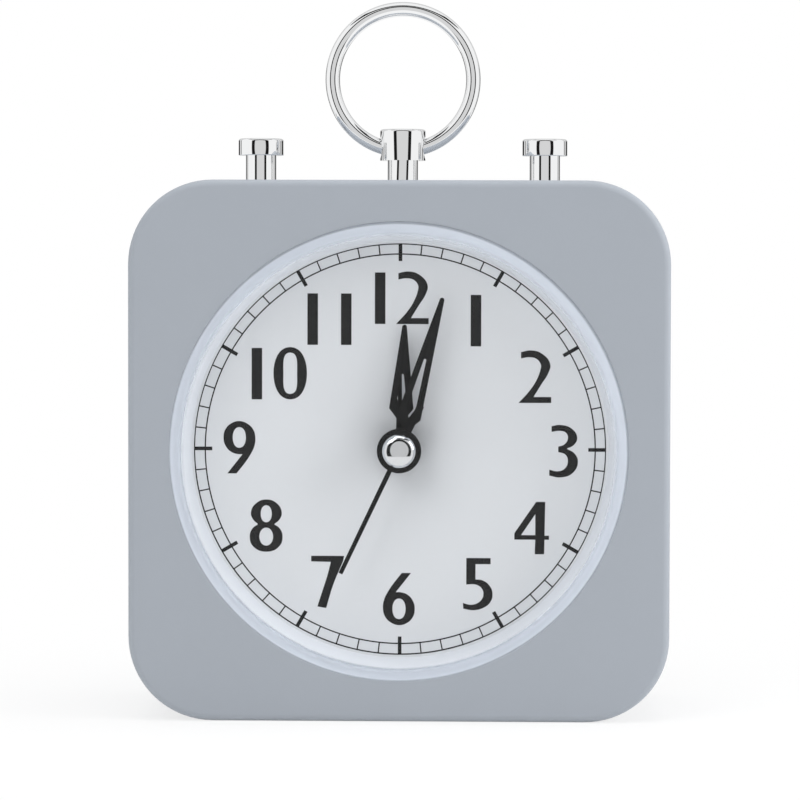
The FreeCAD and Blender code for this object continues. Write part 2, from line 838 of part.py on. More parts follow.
def build_third_wheel():
    x, z = third_at
    y = third_wheel_y
    back = third_bearing + 180
    disc = spoked(wheel(third_teeth, third_radius, back, y, y + wheel_thick, x, z),
                  third_radius, y, y + wheel_thick, x, z)
    leaves = pinion(third_leaves, third_leaf_radius, back + 180 / third_leaves,
                    centre_wheel_y - layer_gap / 2, y, x, z)
    arbor = rod_y(x, z, arbor_radius, train_plate_y + train_plate_thick - pivot_depth,
                  cover_inside_y + pivot_depth)
    return fused([disc, leaves, arbor])


def build_centre_wheel():
    y = centre_wheel_y
    disc = spoked(wheel(centre_teeth, centre_radius, third_bearing, y, y + wheel_thick, 0, mid_z),
                  centre_radius, y, y + wheel_thick, 0, mid_z)
    bore = rod_y(0, mid_z, minute_pipe_radius + running_gap, y - overrun, y + wheel_thick + overrun)
    return disc.cut(bore)


def build_intermediate_wheel():
    x, z = intermediate_at
    y = intermediate_wheel_y
    disc = spoked(wheel(intermediate_teeth, intermediate_radius, rotor_bearing, y, y + wheel_thick, x, z),
                  intermediate_radius, y, y + wheel_thick, x, z)
    leaves = pinion(intermediate_leaves, intermediate_leaf_radius,
                    intermediate_bearing + 180 + 180 / intermediate_leaves,
                    second_wheel_y - layer_gap / 2, y, x, z)
    arbor = rod_y(x, z, arbor_radius, train_plate_y + train_plate_thick - pivot_depth,
                  cover_inside_y + pivot_depth)
    return fused([disc, leaves, arbor])


def build_rotor():
    x, z = rotor_at
    leaves = pinion(rotor_leaves, rotor_leaf_radius, rotor_bearing + 180 + 180 / rotor_leaves,
                    intermediate_wheel_y - layer_gap / 2, magnet_y, x, z)
    magnet = rod_y(x, z, magnet_radius, magnet_y, magnet_y + magnet_length)
    arbor = rod_y(x, z, arbor_radius, train_plate_y + train_plate_thick - pivot_depth,
                  cover_inside_y + pivot_depth)
    return fused([magnet, leaves, arbor])


def build_cannon_pinion():
    y = motion_wheel_y
    leaves = pinion(cannon_teeth, cannon_radius, motion_bearing + 180 / cannon_teeth,
                    y - layer_gap / 2, y + motion_wheel_thick + layer_gap / 2, 0, mid_z)
    pipe = rod_y(0, mid_z, minute_pipe_radius, hand_y(2), centre_wheel_y + wheel_thick + layer_gap / 2)
    bore = rod_y(0, mid_z, second_arbor_radius + running_gap, hand_y(2) - overrun, cover_inside_y)
    return fused([leaves, pipe]).cut(bore)


def build_motion_wheel():
    x, z = motion_at
    y = motion_wheel_y
    back = motion_bearing + 180
    disc = spoked(wheel(motion_teeth, motion_radius, back, y, y + motion_wheel_thick, x, z),
                  motion_radius, y, y + motion_wheel_thick, x, z)
    leaves = pinion(motion_leaves, motion_leaf_radius, back + 180 / motion_leaves,
                    hour_wheel_y - layer_gap / 2, y, x, z)
    arbor = rod_y(x, z, arbor_radius, inside_y - pivot_depth, train_plate_y + pivot_depth)
    return fused([disc, leaves, arbor])


def build_hour_wheel():
    y = hour_wheel_y
    disc = wheel(hour_teeth, hour_radius, motion_bearing, y, y + wheel_thick, 0, mid_z)
    pipe = rod_y(0, mid_z, hour_pipe_radius, hand_y(1), y)
    bore = rod_y(0, mid_z, minute_pipe_radius + running_gap, hand_y(1) - overrun, y + wheel_thick + overrun)
    return fused([disc, pipe]).cut(bore)


def build_alarm_wheel():
    y = alarm_wheel_y
    disc = wheel(alarm_teeth, alarm_radius, 180, y, y + wheel_thick, 0, mid_z)
    pipe = rod_y(0, mid_z, alarm_pipe_radius, hand_y(0), y)
    bore = rod_y(0, mid_z, hour_pipe_radius + running_gap, hand_y(0) - overrun, y + wheel_thick + overrun)
    return fused([disc, pipe]).cut(bore)


def setting_shaft(x, z):
    foot = rod_y(x, z, shaft_pivot_radius, inside_y - pivot_depth, inside_y + layer_gap)
    stem = rod_y(x, z, shaft_radius, inside_y + layer_gap, rear_y + knob_clearance + knob_bore_depth)
    return [foot, stem]


def build_time_shaft():
    x, z = time_at
    y = motion_wheel_y
    bearing = math.degrees(math.atan2(z - motion_at[1], x - motion_at[0]))
    phase = mesh_phase(motion_bearing + 180, motion_teeth, setting_teeth, bearing)
    teeth = pinion(setting_teeth, setting_radius, phase, y - layer_gap / 2,
                   y + motion_wheel_thick + layer_gap / 2, x, z)
    return fused(setting_shaft(x, z) + [teeth])


def build_alarm_shaft():
    x, z = alarm_at
    teeth = wheel(alarm_teeth, alarm_radius, 180 / alarm_teeth, alarm_wheel_y,
                  alarm_wheel_y + wheel_thick, x, z)
    return fused(setting_shaft(x, z) + [teeth])


def build_knob(x, z):
    low = rear_y + knob_clearance
    high = low + knob_height
    knob = rod_y(x, z, knob_radius, low, high)
    knob = knob.makeFillet(knob_edge, edges_at_y(knob, high))
    for i in range(knob_flutes):
        fx, fz = along(x, z, knob_radius, i * 360 / knob_flutes)
        knob = knob.cut(rod_y(fx, fz, knob_flute_radius, low - overrun, high - 2 * knob_edge))
    return knob.cut(rod_y(x, z, shaft_radius, low - overrun, low + knob_bore_depth))


# Movement housing and what is fixed in it

def pivot_holes(y_low, y_high, places, radius):
    return [rod_y(x, z, radius + running_gap, y_low, y_high) for x, z in places]


def build_movement_base():
    half = module_width / 2
    tray = rounded_square_y(half, module_height / 2, module_corner, module_y, cover_inside_y, mid_z)
    inner = half - module_wall
    tray = tray.cut(box(-inner, inner, inside_y, cover_inside_y + overrun, bay_top_z,
                        mid_z + module_height / 2 - module_wall))
    tray = tray.cut(box(-inner, inner, inside_y, cover_inside_y + overrun, bay_floor_z + module_wall,
                        bay_top_z - module_wall))
    bay_back = inside_y + bay_depth
    walls = box(-half, half, cover_inside_y, bay_back, bay_floor_z, bay_top_z)
    walls = walls.cut(box(-inner, inner, cover_inside_y - overrun, bay_back + overrun,
                          bay_floor_z + module_wall, bay_top_z - module_wall))
    lug_half = lug_height / 2
    lugs = box(-half - lug_reach, half + lug_reach, module_y, inside_y, mid_z - lug_half, mid_z + lug_half)
    tube = rod_y(0, mid_z, tube_radius, dial_y - layer_gap, inside_y)
    saddles = []
    for side in (-1, 1):
        x = side * rib_spacing / 2
        rib = box(x - rib_width / 2, x + rib_width / 2, inside_y, battery_back, bay_floor_z + module_wall,
                  bay_top_z - module_wall)
        saddles.append(rib.cut(rod_x(battery_back, battery_z, battery_radius + fit_gap, x - overrun,
                                     x + overrun)))
    column = shaft_radius
    posts = []
    for x in (-inner + column, inner - column):
        for z in (mid_z, mid_z + train_post_rise):
            posts.append(box(x - column, x + column, inside_y, train_plate_y, z - column, z + column))
    for x, z in stator_post_places():
        posts.append(rod_y(x, z, stator_post_radius, inside_y, stator_y))
        posts.append(rod_y(x, z, stator_pin_radius, stator_y, stator_y + stator_thick + layer_gap))
    body = fused([tray, walls, lugs, tube] + saddles + posts)
    cuts = [rod_y(0, mid_z, alarm_pipe_radius + running_gap, dial_y - layer_gap - overrun,
                  inside_y + overrun)]
    cuts += pivot_holes(inside_y - pivot_depth, inside_y + overrun, [motion_at], arbor_radius)
    cuts += pivot_holes(inside_y - pivot_depth, inside_y + overrun, [time_at, alarm_at], shaft_pivot_radius)
    for side in (-1, 1):
        x = side * (half + lug_reach / 2)
        cuts.append(rod_y(x, mid_z, small_screw_radius + fit_gap, module_y - overrun, inside_y + overrun))
        end = side * inner
        low, high = sorted((end - side * overrun, end + side * contact_thick))
        cuts.append(box(low, high, battery_back - contact_tail_width / 2,
                        battery_back + contact_tail_width / 2, bay_top_z - module_wall - overrun,
                        bay_top_z + overrun))
    for cut in cuts:
        body = body.cut(cut)
    return body.removeSplitter()


def build_train_plate():
    half = module_width / 2 - module_wall - fit_gap
    y0, y1 = train_plate_y, train_plate_y + train_plate_thick
    plate = box(-half, half, y0, y1, bay_top_z + fit_gap, mid_z + train_plate_reach)
    cuts = [rod_y(0, mid_z, minute_pipe_radius + running_gap, y0 - overrun, y1 + overrun)]
    cuts += pivot_holes(y1 - pivot_depth, y1 + overrun, [third_at, intermediate_at, rotor_at], arbor_radius)
    cuts += pivot_holes(y0 - overrun, y0 + pivot_depth, [motion_at], arbor_radius)
    cuts += pivot_holes(y0 - overrun, y1 + overrun, [time_at, alarm_at], shaft_radius)
    for cut in cuts:
        plate = plate.cut(cut)
    return plate


def build_movement_cover():
    half = module_width / 2
    y0, y1 = cover_inside_y, cover_back_y
    top = mid_z + module_height / 2
    lid = box(-half, half, y0, y1, bay_top_z, top)
    lid = lid.makeFillet(module_corner, [e for e in edges_along_y(lid) if e.BoundBox.ZMax > mid_z])
    for x, z in (time_at, alarm_at):
        lid = lid.fuse(rod_y(x, z, 2 * shaft_radius, y1 - module_cover_wall / 2, y1 + module_cover_wall))
    cuts = pivot_holes(y0 - overrun, y0 + pivot_depth, [third_at, intermediate_at, rotor_at], arbor_radius)
    cuts += pivot_holes(y0 - overrun, y0 + pivot_depth, [(0, mid_z)], second_arbor_radius)
    cuts += pivot_holes(y0 - overrun, y1 + 2 * module_cover_wall, [time_at, alarm_at], shaft_radius)
    for cut in cuts:
        lid = lid.cut(cut)
    return lid.removeSplitter()


def stator_leg_places():
    """Where the two legs of the stator stand, beyond the ends of the coil."""
    reach = coil_flange_thick + layer_gap + stator_width / 2
    return coil_right_end - coil_length - reach, coil_right_end + reach


def stator_post_places():
    return [(x, mid_z + stator_post_rise) for x in stator_leg_places()]


def build_stator():
    x, z = rotor_at
    y = stator_y
    half = stator_width / 2
    left, right = stator_leg_places()
    arms = [box(left - half, right + half, y, y + stator_thick, z - half, z + half)]
    for leg in (left, right):
        arms.append(box(leg - half, leg + half, y, y + stator_thick, z,
                        mid_z + stator_post_rise + stator_post_radius))
    body = fused(arms)
    cuts = [rod_y(x, z, magnet_radius + magnet_gap, y - overrun, y + stator_thick + overrun)]
    for side in (-1, 1):
        notch = half - stator_neck
        low, high = sorted((z + side * half, z + side * (magnet_radius + magnet_gap + stator_neck / 2)))
        cuts.append(box(x + side * notch - notch / 2, x + side * notch + notch / 2, y - overrun,
                        y + stator_thick + overrun, low, high))
    for px, pz in stator_post_places():
        cuts.append(rod_y(px, pz, stator_pin_radius + running_gap, y - overrun, y + stator_thick + overrun))
    for cut in cuts:
        body = body.cut(cut)
    return body.removeSplitter()


def build_coil_core():
    left, right = stator_leg_places()
    z = mid_z + coil_rise
    half = core_width / 2
    return box(left - half, right + half, stator_y - core_thick, stator_y, z - half, z + half)


def build_coil():
    y = stator_y - core_thick / 2
    z = mid_z + coil_rise
    left = coil_right_end - coil_length
    wound = rod_x(y, z, coil_radius, left, coil_right_end)
    ends = [rod_x(y, z, coil_flange_radius, left - coil_flange_thick, left),
            rod_x(y, z, coil_flange_radius, coil_right_end, coil_right_end + coil_flange_thick)]
    half = core_width / 2
    hole = box(left - coil_length, coil_right_end + coil_length, stator_y - core_thick, stator_y,
               z - half, z + half)
    return fused([wound] + ends).cut(hole)


def build_circuit_board():
    y = cover_inside_y - board_thick
    board = box(board_right - board_width, board_right, y, cover_inside_y, board_top - board_height, board_top)
    chip = rod_y(board_right - board_width / 2, board_top - board_height / 2, chip_radius, y - chip_height, y)
    return board.fuse(chip).removeSplitter()


def build_quartz_crystal():
    y = cover_inside_y - board_thick - crystal_radius
    x = board_right - board_width / 2 - crystal_length / 2
    return rod_x(y, board_top - 2 * crystal_radius, crystal_radius, x, x + crystal_length)


# Battery

def build_battery():
    low, high = battery_shift - battery_length / 2, battery_shift + battery_length / 2
    body = rod_x(battery_back, battery_z, battery_radius, low, high)
    body = body.makeFillet(battery_edge, [e for e in body.Edges if e.BoundBox.XLength < touching])
    nub = rod_x(battery_back, battery_z, battery_nub_radius, high - overrun, high + battery_nub_height)
    return body.fuse(nub).removeSplitter()


def contact_plate(side):
    inner = side * (module_width / 2 - module_wall)
    low, high = sorted((inner, inner - side * contact_thick))
    half = contact_side / 2
    blade = box(low, high, battery_back - half, battery_back + half, battery_z - half, battery_z + half)
    tail_half = contact_tail_width / 2 - fit_gap
    tail = box(low, high, battery_back - tail_half, battery_back + tail_half, battery_z,
               bay_top_z + contact_tail)
    return blade.fuse(tail).removeSplitter()


def tangent_arc(start, tangent, end):
    """The arc from start to end that leaves along tangent."""
    chord = end - start
    length = chord.Length
    unit = chord / length
    side = tangent - unit * tangent.dot(unit)
    turn = math.atan2(side.Length, tangent.dot(unit))
    middle = (start + end) / 2 + side.normalize() * (length / 2 * math.tan(turn / 2))
    return Part.Arc(start, middle, end).toShape()


def biarc(start, tangent, end, end_tangent):
    """Two arcs, tangent to each other, from start to end along the tangents given there."""
    v = end - start
    total = tangent + end_tangent
    a = 2 * (1 - tangent.dot(end_tangent))
    b = 2 * v.dot(total)
    reach = (-b + math.sqrt(b * b + 4 * a * v.dot(v))) / (2 * a)
    first, last = start + tangent * reach, end - end_tangent * reach
    middle = (first + last) / 2
    onward = (last - first).normalize()
    return [tangent_arc(start, tangent, middle), tangent_arc(middle, onward, end)]


def coil_at(radii, turns, rise, share):
    """A place on a coil of even turns, whose radius goes evenly from the first of radii to the second."""
    start, end = radii
    r = start + (end - start) * share
    angle = 2 * math.pi * turns * share
    return r * math.cos(angle), r * math.sin(angle), rise * share


def coil_points(place, radii, turns, rise):
    """Points and unit tangents of a coil. place turns (x, y, height) into a point."""
    count = turns * coil_steps
    origin = place(0, 0, 0)
    points = []
    for i in range(count + 1):
        share = i / count
        x, y, height = coil_at(radii, turns, rise, share)
        spin = 2 * math.pi * turns
        slope = (radii[1] - radii[0]) / math.hypot(x, y)
        onward = place(slope * x - spin * y, slope * y + spin * x, rise) - origin
        points.append((place(x, y, height), onward.normalize()))
    return points


def coil_spring(place, radii, turns, rise, wire_radius, name):
    points = coil_points(place, radii, turns, rise)
    edges = []
    for (start, tangent), (end, end_tangent) in zip(points, points[1:]):
        edges += biarc(start, tangent, end, end_tangent)
    spine = Part.Wire(edges)
    section = Part.Wire(Part.makeCircle(wire_radius, points[0][0], points[0][1]))
    solid = spine.makePipeShell([section], True, False)
    gap = coil_gap(radii, turns, rise, wire_radius)
    print(f"{name}: least gap between its turns {gap:.3f} mm")
    return solid


def coil_gap(radii, turns, rise, wire_radius):
    """The least gap of a coil to itself, measured on points half a turn or more apart."""
    samples = coil_samples * turns
    spots = [coil_at(radii, turns, rise, i / samples) for i in range(samples + 1)]
    least = rise
    for i, a in enumerate(spots):
        for b in spots[i + coil_samples // 2:]:
            least = min(least, math.dist(a, b))
    return least - 2 * wire_radius


def build_battery_spring():
    wall = module_width / 2 - module_wall - contact_thick
    start = -wall + battery_coil_wire
    rise = battery_shift - battery_length / 2 - battery_coil_wire - start

    def place(u, v, height):
        return V(start + height, battery_back + u, battery_z + v)

    radii = (battery_coil_radius, battery_coil_end_radius)
    return coil_spring(place, radii, battery_coil_turns, rise, battery_coil_wire, "battery_spring")


# Alarm switch and buzzer

def build_alarm_slider():
    x0 = switch_x - switch_travel / 2 - slider_width / 2
    x1 = x0 + slider_width
    half = slider_height / 2
    thumb = box(x0, x1, rear_wall_y - fit_gap, rear_y + slider_rise, switch_z - half, switch_z + half)
    flange = box(x0 - slider_flange, x1 + slider_flange, rear_wall_y - fit_gap - slider_flange_thick,
                 rear_wall_y - fit_gap, switch_z - half - slider_flange, switch_z + half + slider_flange)
    body = thumb.fuse(flange)
    pitch = slider_width / (slider_grooves + 2)
    for i in range(slider_grooves):
        x = x0 + pitch * (i + 1)
        body = body.cut(box(x, x + pitch / 2, rear_y + slider_rise / 2, rear_y + slider_rise + overrun,
                            switch_z - half - overrun, switch_z + half + overrun))
    return body.removeSplitter()


def build_switch_body():
    front = rear_wall_y - fit_gap - slider_flange_thick - fit_gap - switch_body_depth
    half_x, half_z = switch_body_width / 2, switch_body_height / 2
    body = box(switch_x - half_x, switch_x + half_x, front, rear_wall_y, switch_z - half_z,
               switch_z + half_z)
    reach = slider_width / 2 + switch_travel / 2 + slider_flange + fit_gap
    tall = slider_height / 2 + slider_flange + fit_gap
    return body.cut(box(switch_x - reach, switch_x + reach, front + switch_body_depth,
                        rear_wall_y + overrun, switch_z - tall, switch_z + tall))


def build_buzzer():
    y0 = rear_wall_y - buzzer_height
    disc = rod_y(buzzer_x, buzzer_z, buzzer_radius, y0, rear_wall_y)
    return disc.cut(rod_y(buzzer_x, buzzer_z, buzzer_hole_radius, rear_wall_y - buzzer_height / 2,
                          rear_wall_y + overrun))


# Ring and its post

ring_axis_z = top_z + post_stem_height + ring_hole_lift
ring_sag = carry_ring_radius - math.sqrt(carry_ring_radius ** 2 - post_head_radius ** 2)
ring_centre_z = ring_axis_z - ring_sag / 2 + carry_ring_radius


def build_ring_post():
    head_z = top_z + post_stem_height
    stem = rod_z(0, 0, post_radius, top_z, head_z)
    head = rod_z(0, 0, post_head_radius, head_z, head_z + post_head_height)
    head = head.makeFillet(post_edge, edges_at_z(head, head_z + post_head_height))
    thread = rod_z(0, 0, thread_radius - running_gap, ceiling_z - thread_length, top_z)
    body = fused([stem, head, thread])
    body = body.cut(rod_x(0, ring_axis_z, ring_hole_radius, -post_head_radius - overrun,
                          post_head_radius + overrun))
    for side in (-1, 1):
        mouth = V(side * (post_head_radius - hole_flare), 0, ring_axis_z)
        body = body.cut(Part.makeCone(ring_hole_radius, ring_hole_radius + 2 * hole_flare, 2 * hole_flare,
                                      mouth, V(side, 0, 0)))
    return body.removeSplitter()


def build_carry_ring():
    return Part.makeTorus(carry_ring_radius, carry_wire_radius, V(0, 0, ring_centre_z), V(0, 1, 0))


def build_post_washer():
    washer = rod_z(0, 0, washer_radius, ceiling_z - washer_thick, ceiling_z)
    return washer.cut(rod_z(0, 0, thread_radius + fit_gap, ceiling_z - washer_thick - overrun,
                            ceiling_z + overrun))


def build_post_nut():
    across = nut_flats / 2 / math.cos(math.pi / 6)
    low = ceiling_z - washer_thick - nut_height
    corners = []
    for i in range(6):
        angle = math.radians(60 * i)
        corners.append(V(across * math.cos(angle), across * math.sin(angle), low))
    nut = Part.Face(Part.makePolygon(corners + corners[:1])).extrude(V(0, 0, nut_height))
    return nut.cut(rod_z(0, 0, thread_radius - running_gap, low - overrun, ceiling_z))


# Push buttons

def build_button(side):
    x = side * button_spacing / 2
    head_z = top_z + button_stem_height
    head = rod_z(x, 0, button_head_radius, head_z, head_z + button_head_height)
    head = head.makeFillet(button_edge, edges_at_z(head, head_z + button_head_height))
    stem = rod_z(x, 0, button_stem_radius, ceiling_z - button_shoulder_drop, head_z)
    pin = rod_z(x, 0, button_pin_radius, pin_end_z, ceiling_z - button_shoulder_drop)
    body = fused([head, stem, pin])
    groove_top = ceiling_z - fit_gap
    ring = rod_z(x, 0, button_stem_radius + overrun, groove_top - clip_thick, groove_top)
    ring = ring.cut(rod_z(x, 0, button_stem_radius - clip_groove_depth, groove_top - clip_thick, groove_top))
    return body.cut(ring).removeSplitter()


def build_button_clip(side):
    x = side * button_spacing / 2
    top = ceiling_z - fit_gap
    clip = rod_z(x, 0, clip_radius, top - clip_thick, top)
    clip = clip.cut(rod_z(x, 0, button_stem_radius - clip_groove_depth, top - clip_thick - overrun,
                          top + overrun))
    mouth = box(x - clip_mouth / 2, x + clip_mouth / 2, 0, clip_radius + overrun,
                top - clip_thick - overrun, top + overrun)
    return clip.cut(mouth)


def build_button_spring(side):
    x = side * button_spacing / 2
    start = spring_seat_z + spring_wire

    def place(u, v, height):
        return V(x + u, v, start + height)

    radii = (spring_coil_radius, spring_coil_radius)
    rise = spring_length - 2 * spring_wire
    return coil_spring(place, radii, spring_turns, rise, spring_wire, "button_spring")


def build_top_switch(side):
    x = side * button_spacing / 2
    half = switch_side / 2
    body = box(x - half, x + half, -half, half, top_board_z, top_board_z + switch_height)
    return body.fuse(rod_z(x, 0, switch_cap_radius, top_board_z + switch_height, switch_top_z))


def build_top_board():
    half_x = button_spacing / 2 + board_margin
    half_y = top_board_depth / 2
    board = box(-half_x, half_x, -half_y, half_y, top_board_z - top_board_thick, top_board_z)
    for side in (-1, 1):
        board = board.cut(rod_z(side * board_screw_offset, 0, small_screw_radius + fit_gap,
                                top_board_z - top_board_thick - overrun, top_board_z + overrun))
    return board


def build_board_screws():
    shapes = []
    low = top_board_z - top_board_thick
    for side in (-1, 1):
        x = side * board_screw_offset
        head = rod_z(x, 0, small_head_radius, low - small_head_height, low)
        shank = rod_z(x, 0, small_screw_radius, low, low + small_screw_length)
        half = screw_drive_width / 2
        slot = box(x - small_head_radius, x + small_head_radius, -half, half, low - small_head_height - overrun,
                   low - small_head_height / 2)
        shapes.append(head.fuse(shank).cut(slot).removeSplitter())
    return Part.makeCompound(shapes)


def lamp_place():
    """The lamp's depth and the height of its base."""
    return dial_y - lamp_radius - fit_gap, mid_z + pocket_radius - fit_gap - 2 * lamp_lead - lamp_lead_rise


def build_dial_lamp():
    y, base = lamp_place()
    low = base - lamp_length + lamp_radius
    return rod_z(0, y, lamp_radius, low, base).fuse(Part.makeSphere(lamp_radius, V(0, y, low))).removeSplitter()


def build_lamp_leads():
    y, base = lamp_place()
    high = base + lamp_lead_rise
    shapes = []
    for side in (-1, 1):
        x = side * lamp_lead_spacing / 2
        points = [V(x, y, base), V(x, y, high), V(x, -lamp_lead_back, high), V(x, -lamp_lead_back, top_board_z)]
        shapes.append(bent_wire(points, lamp_lead))
    return Part.makeCompound(shapes)


def bent_wire(points, radius):
    """A round wire along straight runs joined by tangent arcs."""
    edges = []
    at = points[0]
    for before, corner, after in zip(points, points[1:], points[2:]):
        back = (before - corner).normalize()
        on = (after - corner).normalize()
        turn = math.pi - math.acos(max(-1, min(1, back.dot(on))))
        run = min((before - corner).Length, (after - corner).Length)
        cut = bend_share * run
        bend = cut / math.tan(turn / 2)
        first, last = corner + back * cut, corner + on * cut
        out = (back + on).normalize()
        middle = corner + out * (math.hypot(bend, cut) - bend)
        edges.append(Part.makeLine(at, first))
        edges.append(Part.Arc(first, middle, last).toShape())
        at = last
    edges.append(Part.makeLine(at, points[-1]))
    spine = Part.Wire(edges)
    direction = (points[1] - points[0]).normalize()
    section = Part.Wire(Part.makeCircle(radius, points[0], direction))
    return spine.makePipeShell([section], True, False)


PARTS = {
    "front_housing": build_front_housing,
    "rear_cover": build_rear_cover,
    "battery_door": build_battery_door,
    "case_screws": build_case_screws,
    "lens": build_lens,
    "dial_ring": build_dial_ring,
    "dial": build_dial,
    "mounting_plate": build_mounting_plate,
    "plate_screws": build_plate_screws,
    "module_screws": build_module_screws,
    "alarm_hand": build_alarm_hand,
    "hour_hand": build_hour_hand,
    "minute_hand": build_minute_hand,
    "second_hand": build_second_hand,
    "hub_cap": build_hub_cap,
    "movement_base": build_movement_base,
    "train_plate": build_train_plate,
    "movement_cover": build_movement_cover,
    "alarm_wheel": build_alarm_wheel,
    "hour_wheel": build_hour_wheel,
    "cannon_pinion": build_cannon_pinion,
    "motion_wheel": build_motion_wheel,
    "centre_wheel": build_centre_wheel,
    "third_wheel": build_third_wheel,
    "second_wheel": build_second_wheel,
    "intermediate_wheel": build_intermediate_wheel,
    "rotor": build_rotor,
    "stator": build_stator,
    "coil": build_coil,
    "coil_core": build_coil_core,
    "circuit_board": build_circuit_board,
    "quartz_crystal": build_quartz_crystal,
    "time_shaft": build_time_shaft,
    "time_knob": lambda: build_knob(*time_at),
    "alarm_shaft": build_alarm_shaft,
    "alarm_knob": lambda: build_knob(*alarm_at),
    "battery": build_battery,
    "plus_contact": lambda: contact_plate(1),
    "minus_contact": lambda: contact_plate(-1),
    "battery_spring": build_battery_spring,
    "alarm_slider": build_alarm_slider,
    "switch_body": build_switch_body,
    "buzzer": build_buzzer,
    "ring_post": build_ring_post,
    "carry_ring": build_carry_ring,
    "post_washer": build_post_washer,
    "post_nut": build_post_nut,
    "light_button": lambda: build_button(-1),
    "snooze_button": lambda: build_button(1),
    "light_clip": lambda: build_button_clip(-1),
    "snooze_clip": lambda: build_button_clip(1),
    "light_spring": lambda: build_button_spring(-1),
    "snooze_spring": lambda: build_button_spring(1),
    "light_switch": lambda: build_top_switch(-1),
    "snooze_switch": lambda: build_top_switch(1),
    "top_board": build_top_board,
    "board_screws": build_board_screws,
    "dial_lamp": build_dial_lamp,
    "lamp_leads": build_lamp_leads,
}


def main():
    os.makedirs("parts", exist_ok=True)
    for node, build in PARTS.items():
        shape = build()
        solids = shape.Solids
        volume = sum(solid.Volume for solid in solids)
        print(f"{node}: {len(solids)} solid(s), valid {shape.isValid()}, {volume:.1f} mm3")
        if len(solids) == 1:
            shape = solids[0]
        shape.exportStep(f"parts/{node}.step")


main()
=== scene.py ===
import math

import bmesh
import bpy
from mathutils import Matrix, Vector


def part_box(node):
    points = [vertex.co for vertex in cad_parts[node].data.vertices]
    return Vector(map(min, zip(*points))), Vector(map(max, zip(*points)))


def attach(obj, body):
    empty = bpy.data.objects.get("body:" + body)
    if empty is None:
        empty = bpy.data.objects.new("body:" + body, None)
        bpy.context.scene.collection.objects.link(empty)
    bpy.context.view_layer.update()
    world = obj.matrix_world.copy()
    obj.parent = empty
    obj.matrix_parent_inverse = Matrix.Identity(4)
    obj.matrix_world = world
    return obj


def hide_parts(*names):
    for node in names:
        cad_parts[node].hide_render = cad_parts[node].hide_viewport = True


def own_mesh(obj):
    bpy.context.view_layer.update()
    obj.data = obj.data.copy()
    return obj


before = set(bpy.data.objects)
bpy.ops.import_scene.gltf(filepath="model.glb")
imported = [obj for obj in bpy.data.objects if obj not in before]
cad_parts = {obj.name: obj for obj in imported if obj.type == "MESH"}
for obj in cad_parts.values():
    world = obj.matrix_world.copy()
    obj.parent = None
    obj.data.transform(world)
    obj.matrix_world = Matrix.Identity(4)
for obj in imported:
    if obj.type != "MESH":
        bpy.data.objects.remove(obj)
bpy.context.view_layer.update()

bl_info = {
    "name": "Pendulette Clock",
    "version": (1, 0, 0),
    "blender": (4, 5, 0),
    "location": "View3D > Sidebar > Clock",
    "description": "Dresses a square table alarm clock: case, lens, dial, hands, ring, buttons and movement",
    "category": "Object",
}

MM = 0.001
TOUCHING = 1e-7
MERGE_REACH = 1e-6
NEARLY_FLAT = math.radians(0.2)
# A bevel leaves a row of gentler bends, so a bevelled piece is split only at bends this many degrees sharper.
BEVEL_SPARE_DEG = 8
FULL_TURN = 2 * math.pi

case_low, case_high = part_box("front_housing")
MID_Z = (case_low.z + case_high.z) / 2
DIAL_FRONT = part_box("dial")[0].y

# Numeral shapes, as shares of the numeral's height from the foot of its left side. Each loop is a row of
# points (x share, z share), round unless CORNER follows. The first loop is the outline, the others are holes.
CORNER, ROUND = "VECTOR", "AUTO"
SIX_OUTLINE = (
    (0.359, 1.0, CORNER), (0.535, 1.0, CORNER), (0.245, 0.631, CORNER), (0.345, 0.629), (0.474, 0.581),
    (0.573, 0.466), (0.608, 0.313), (0.566, 0.145), (0.451, 0.038), (0.306, 0.0), (0.145, 0.054),
    (0.038, 0.168), (0.0, 0.336), (0.023, 0.489), (0.092, 0.635), (0.176, 0.765),
)
SIX_WIDTH_SHARE = 0.608


def oval_loop(x, z, half_width, half_height):
    """Four round points make an oval."""
    return (x, z + half_height), (x + half_width, z), (x, z - half_height), (x - half_width, z)


def turned_loop(loop, width):
    """A loop turned by half a turn within its own box."""
    return tuple((width - x, 1 - z, *kind) for x, z, *kind in loop)


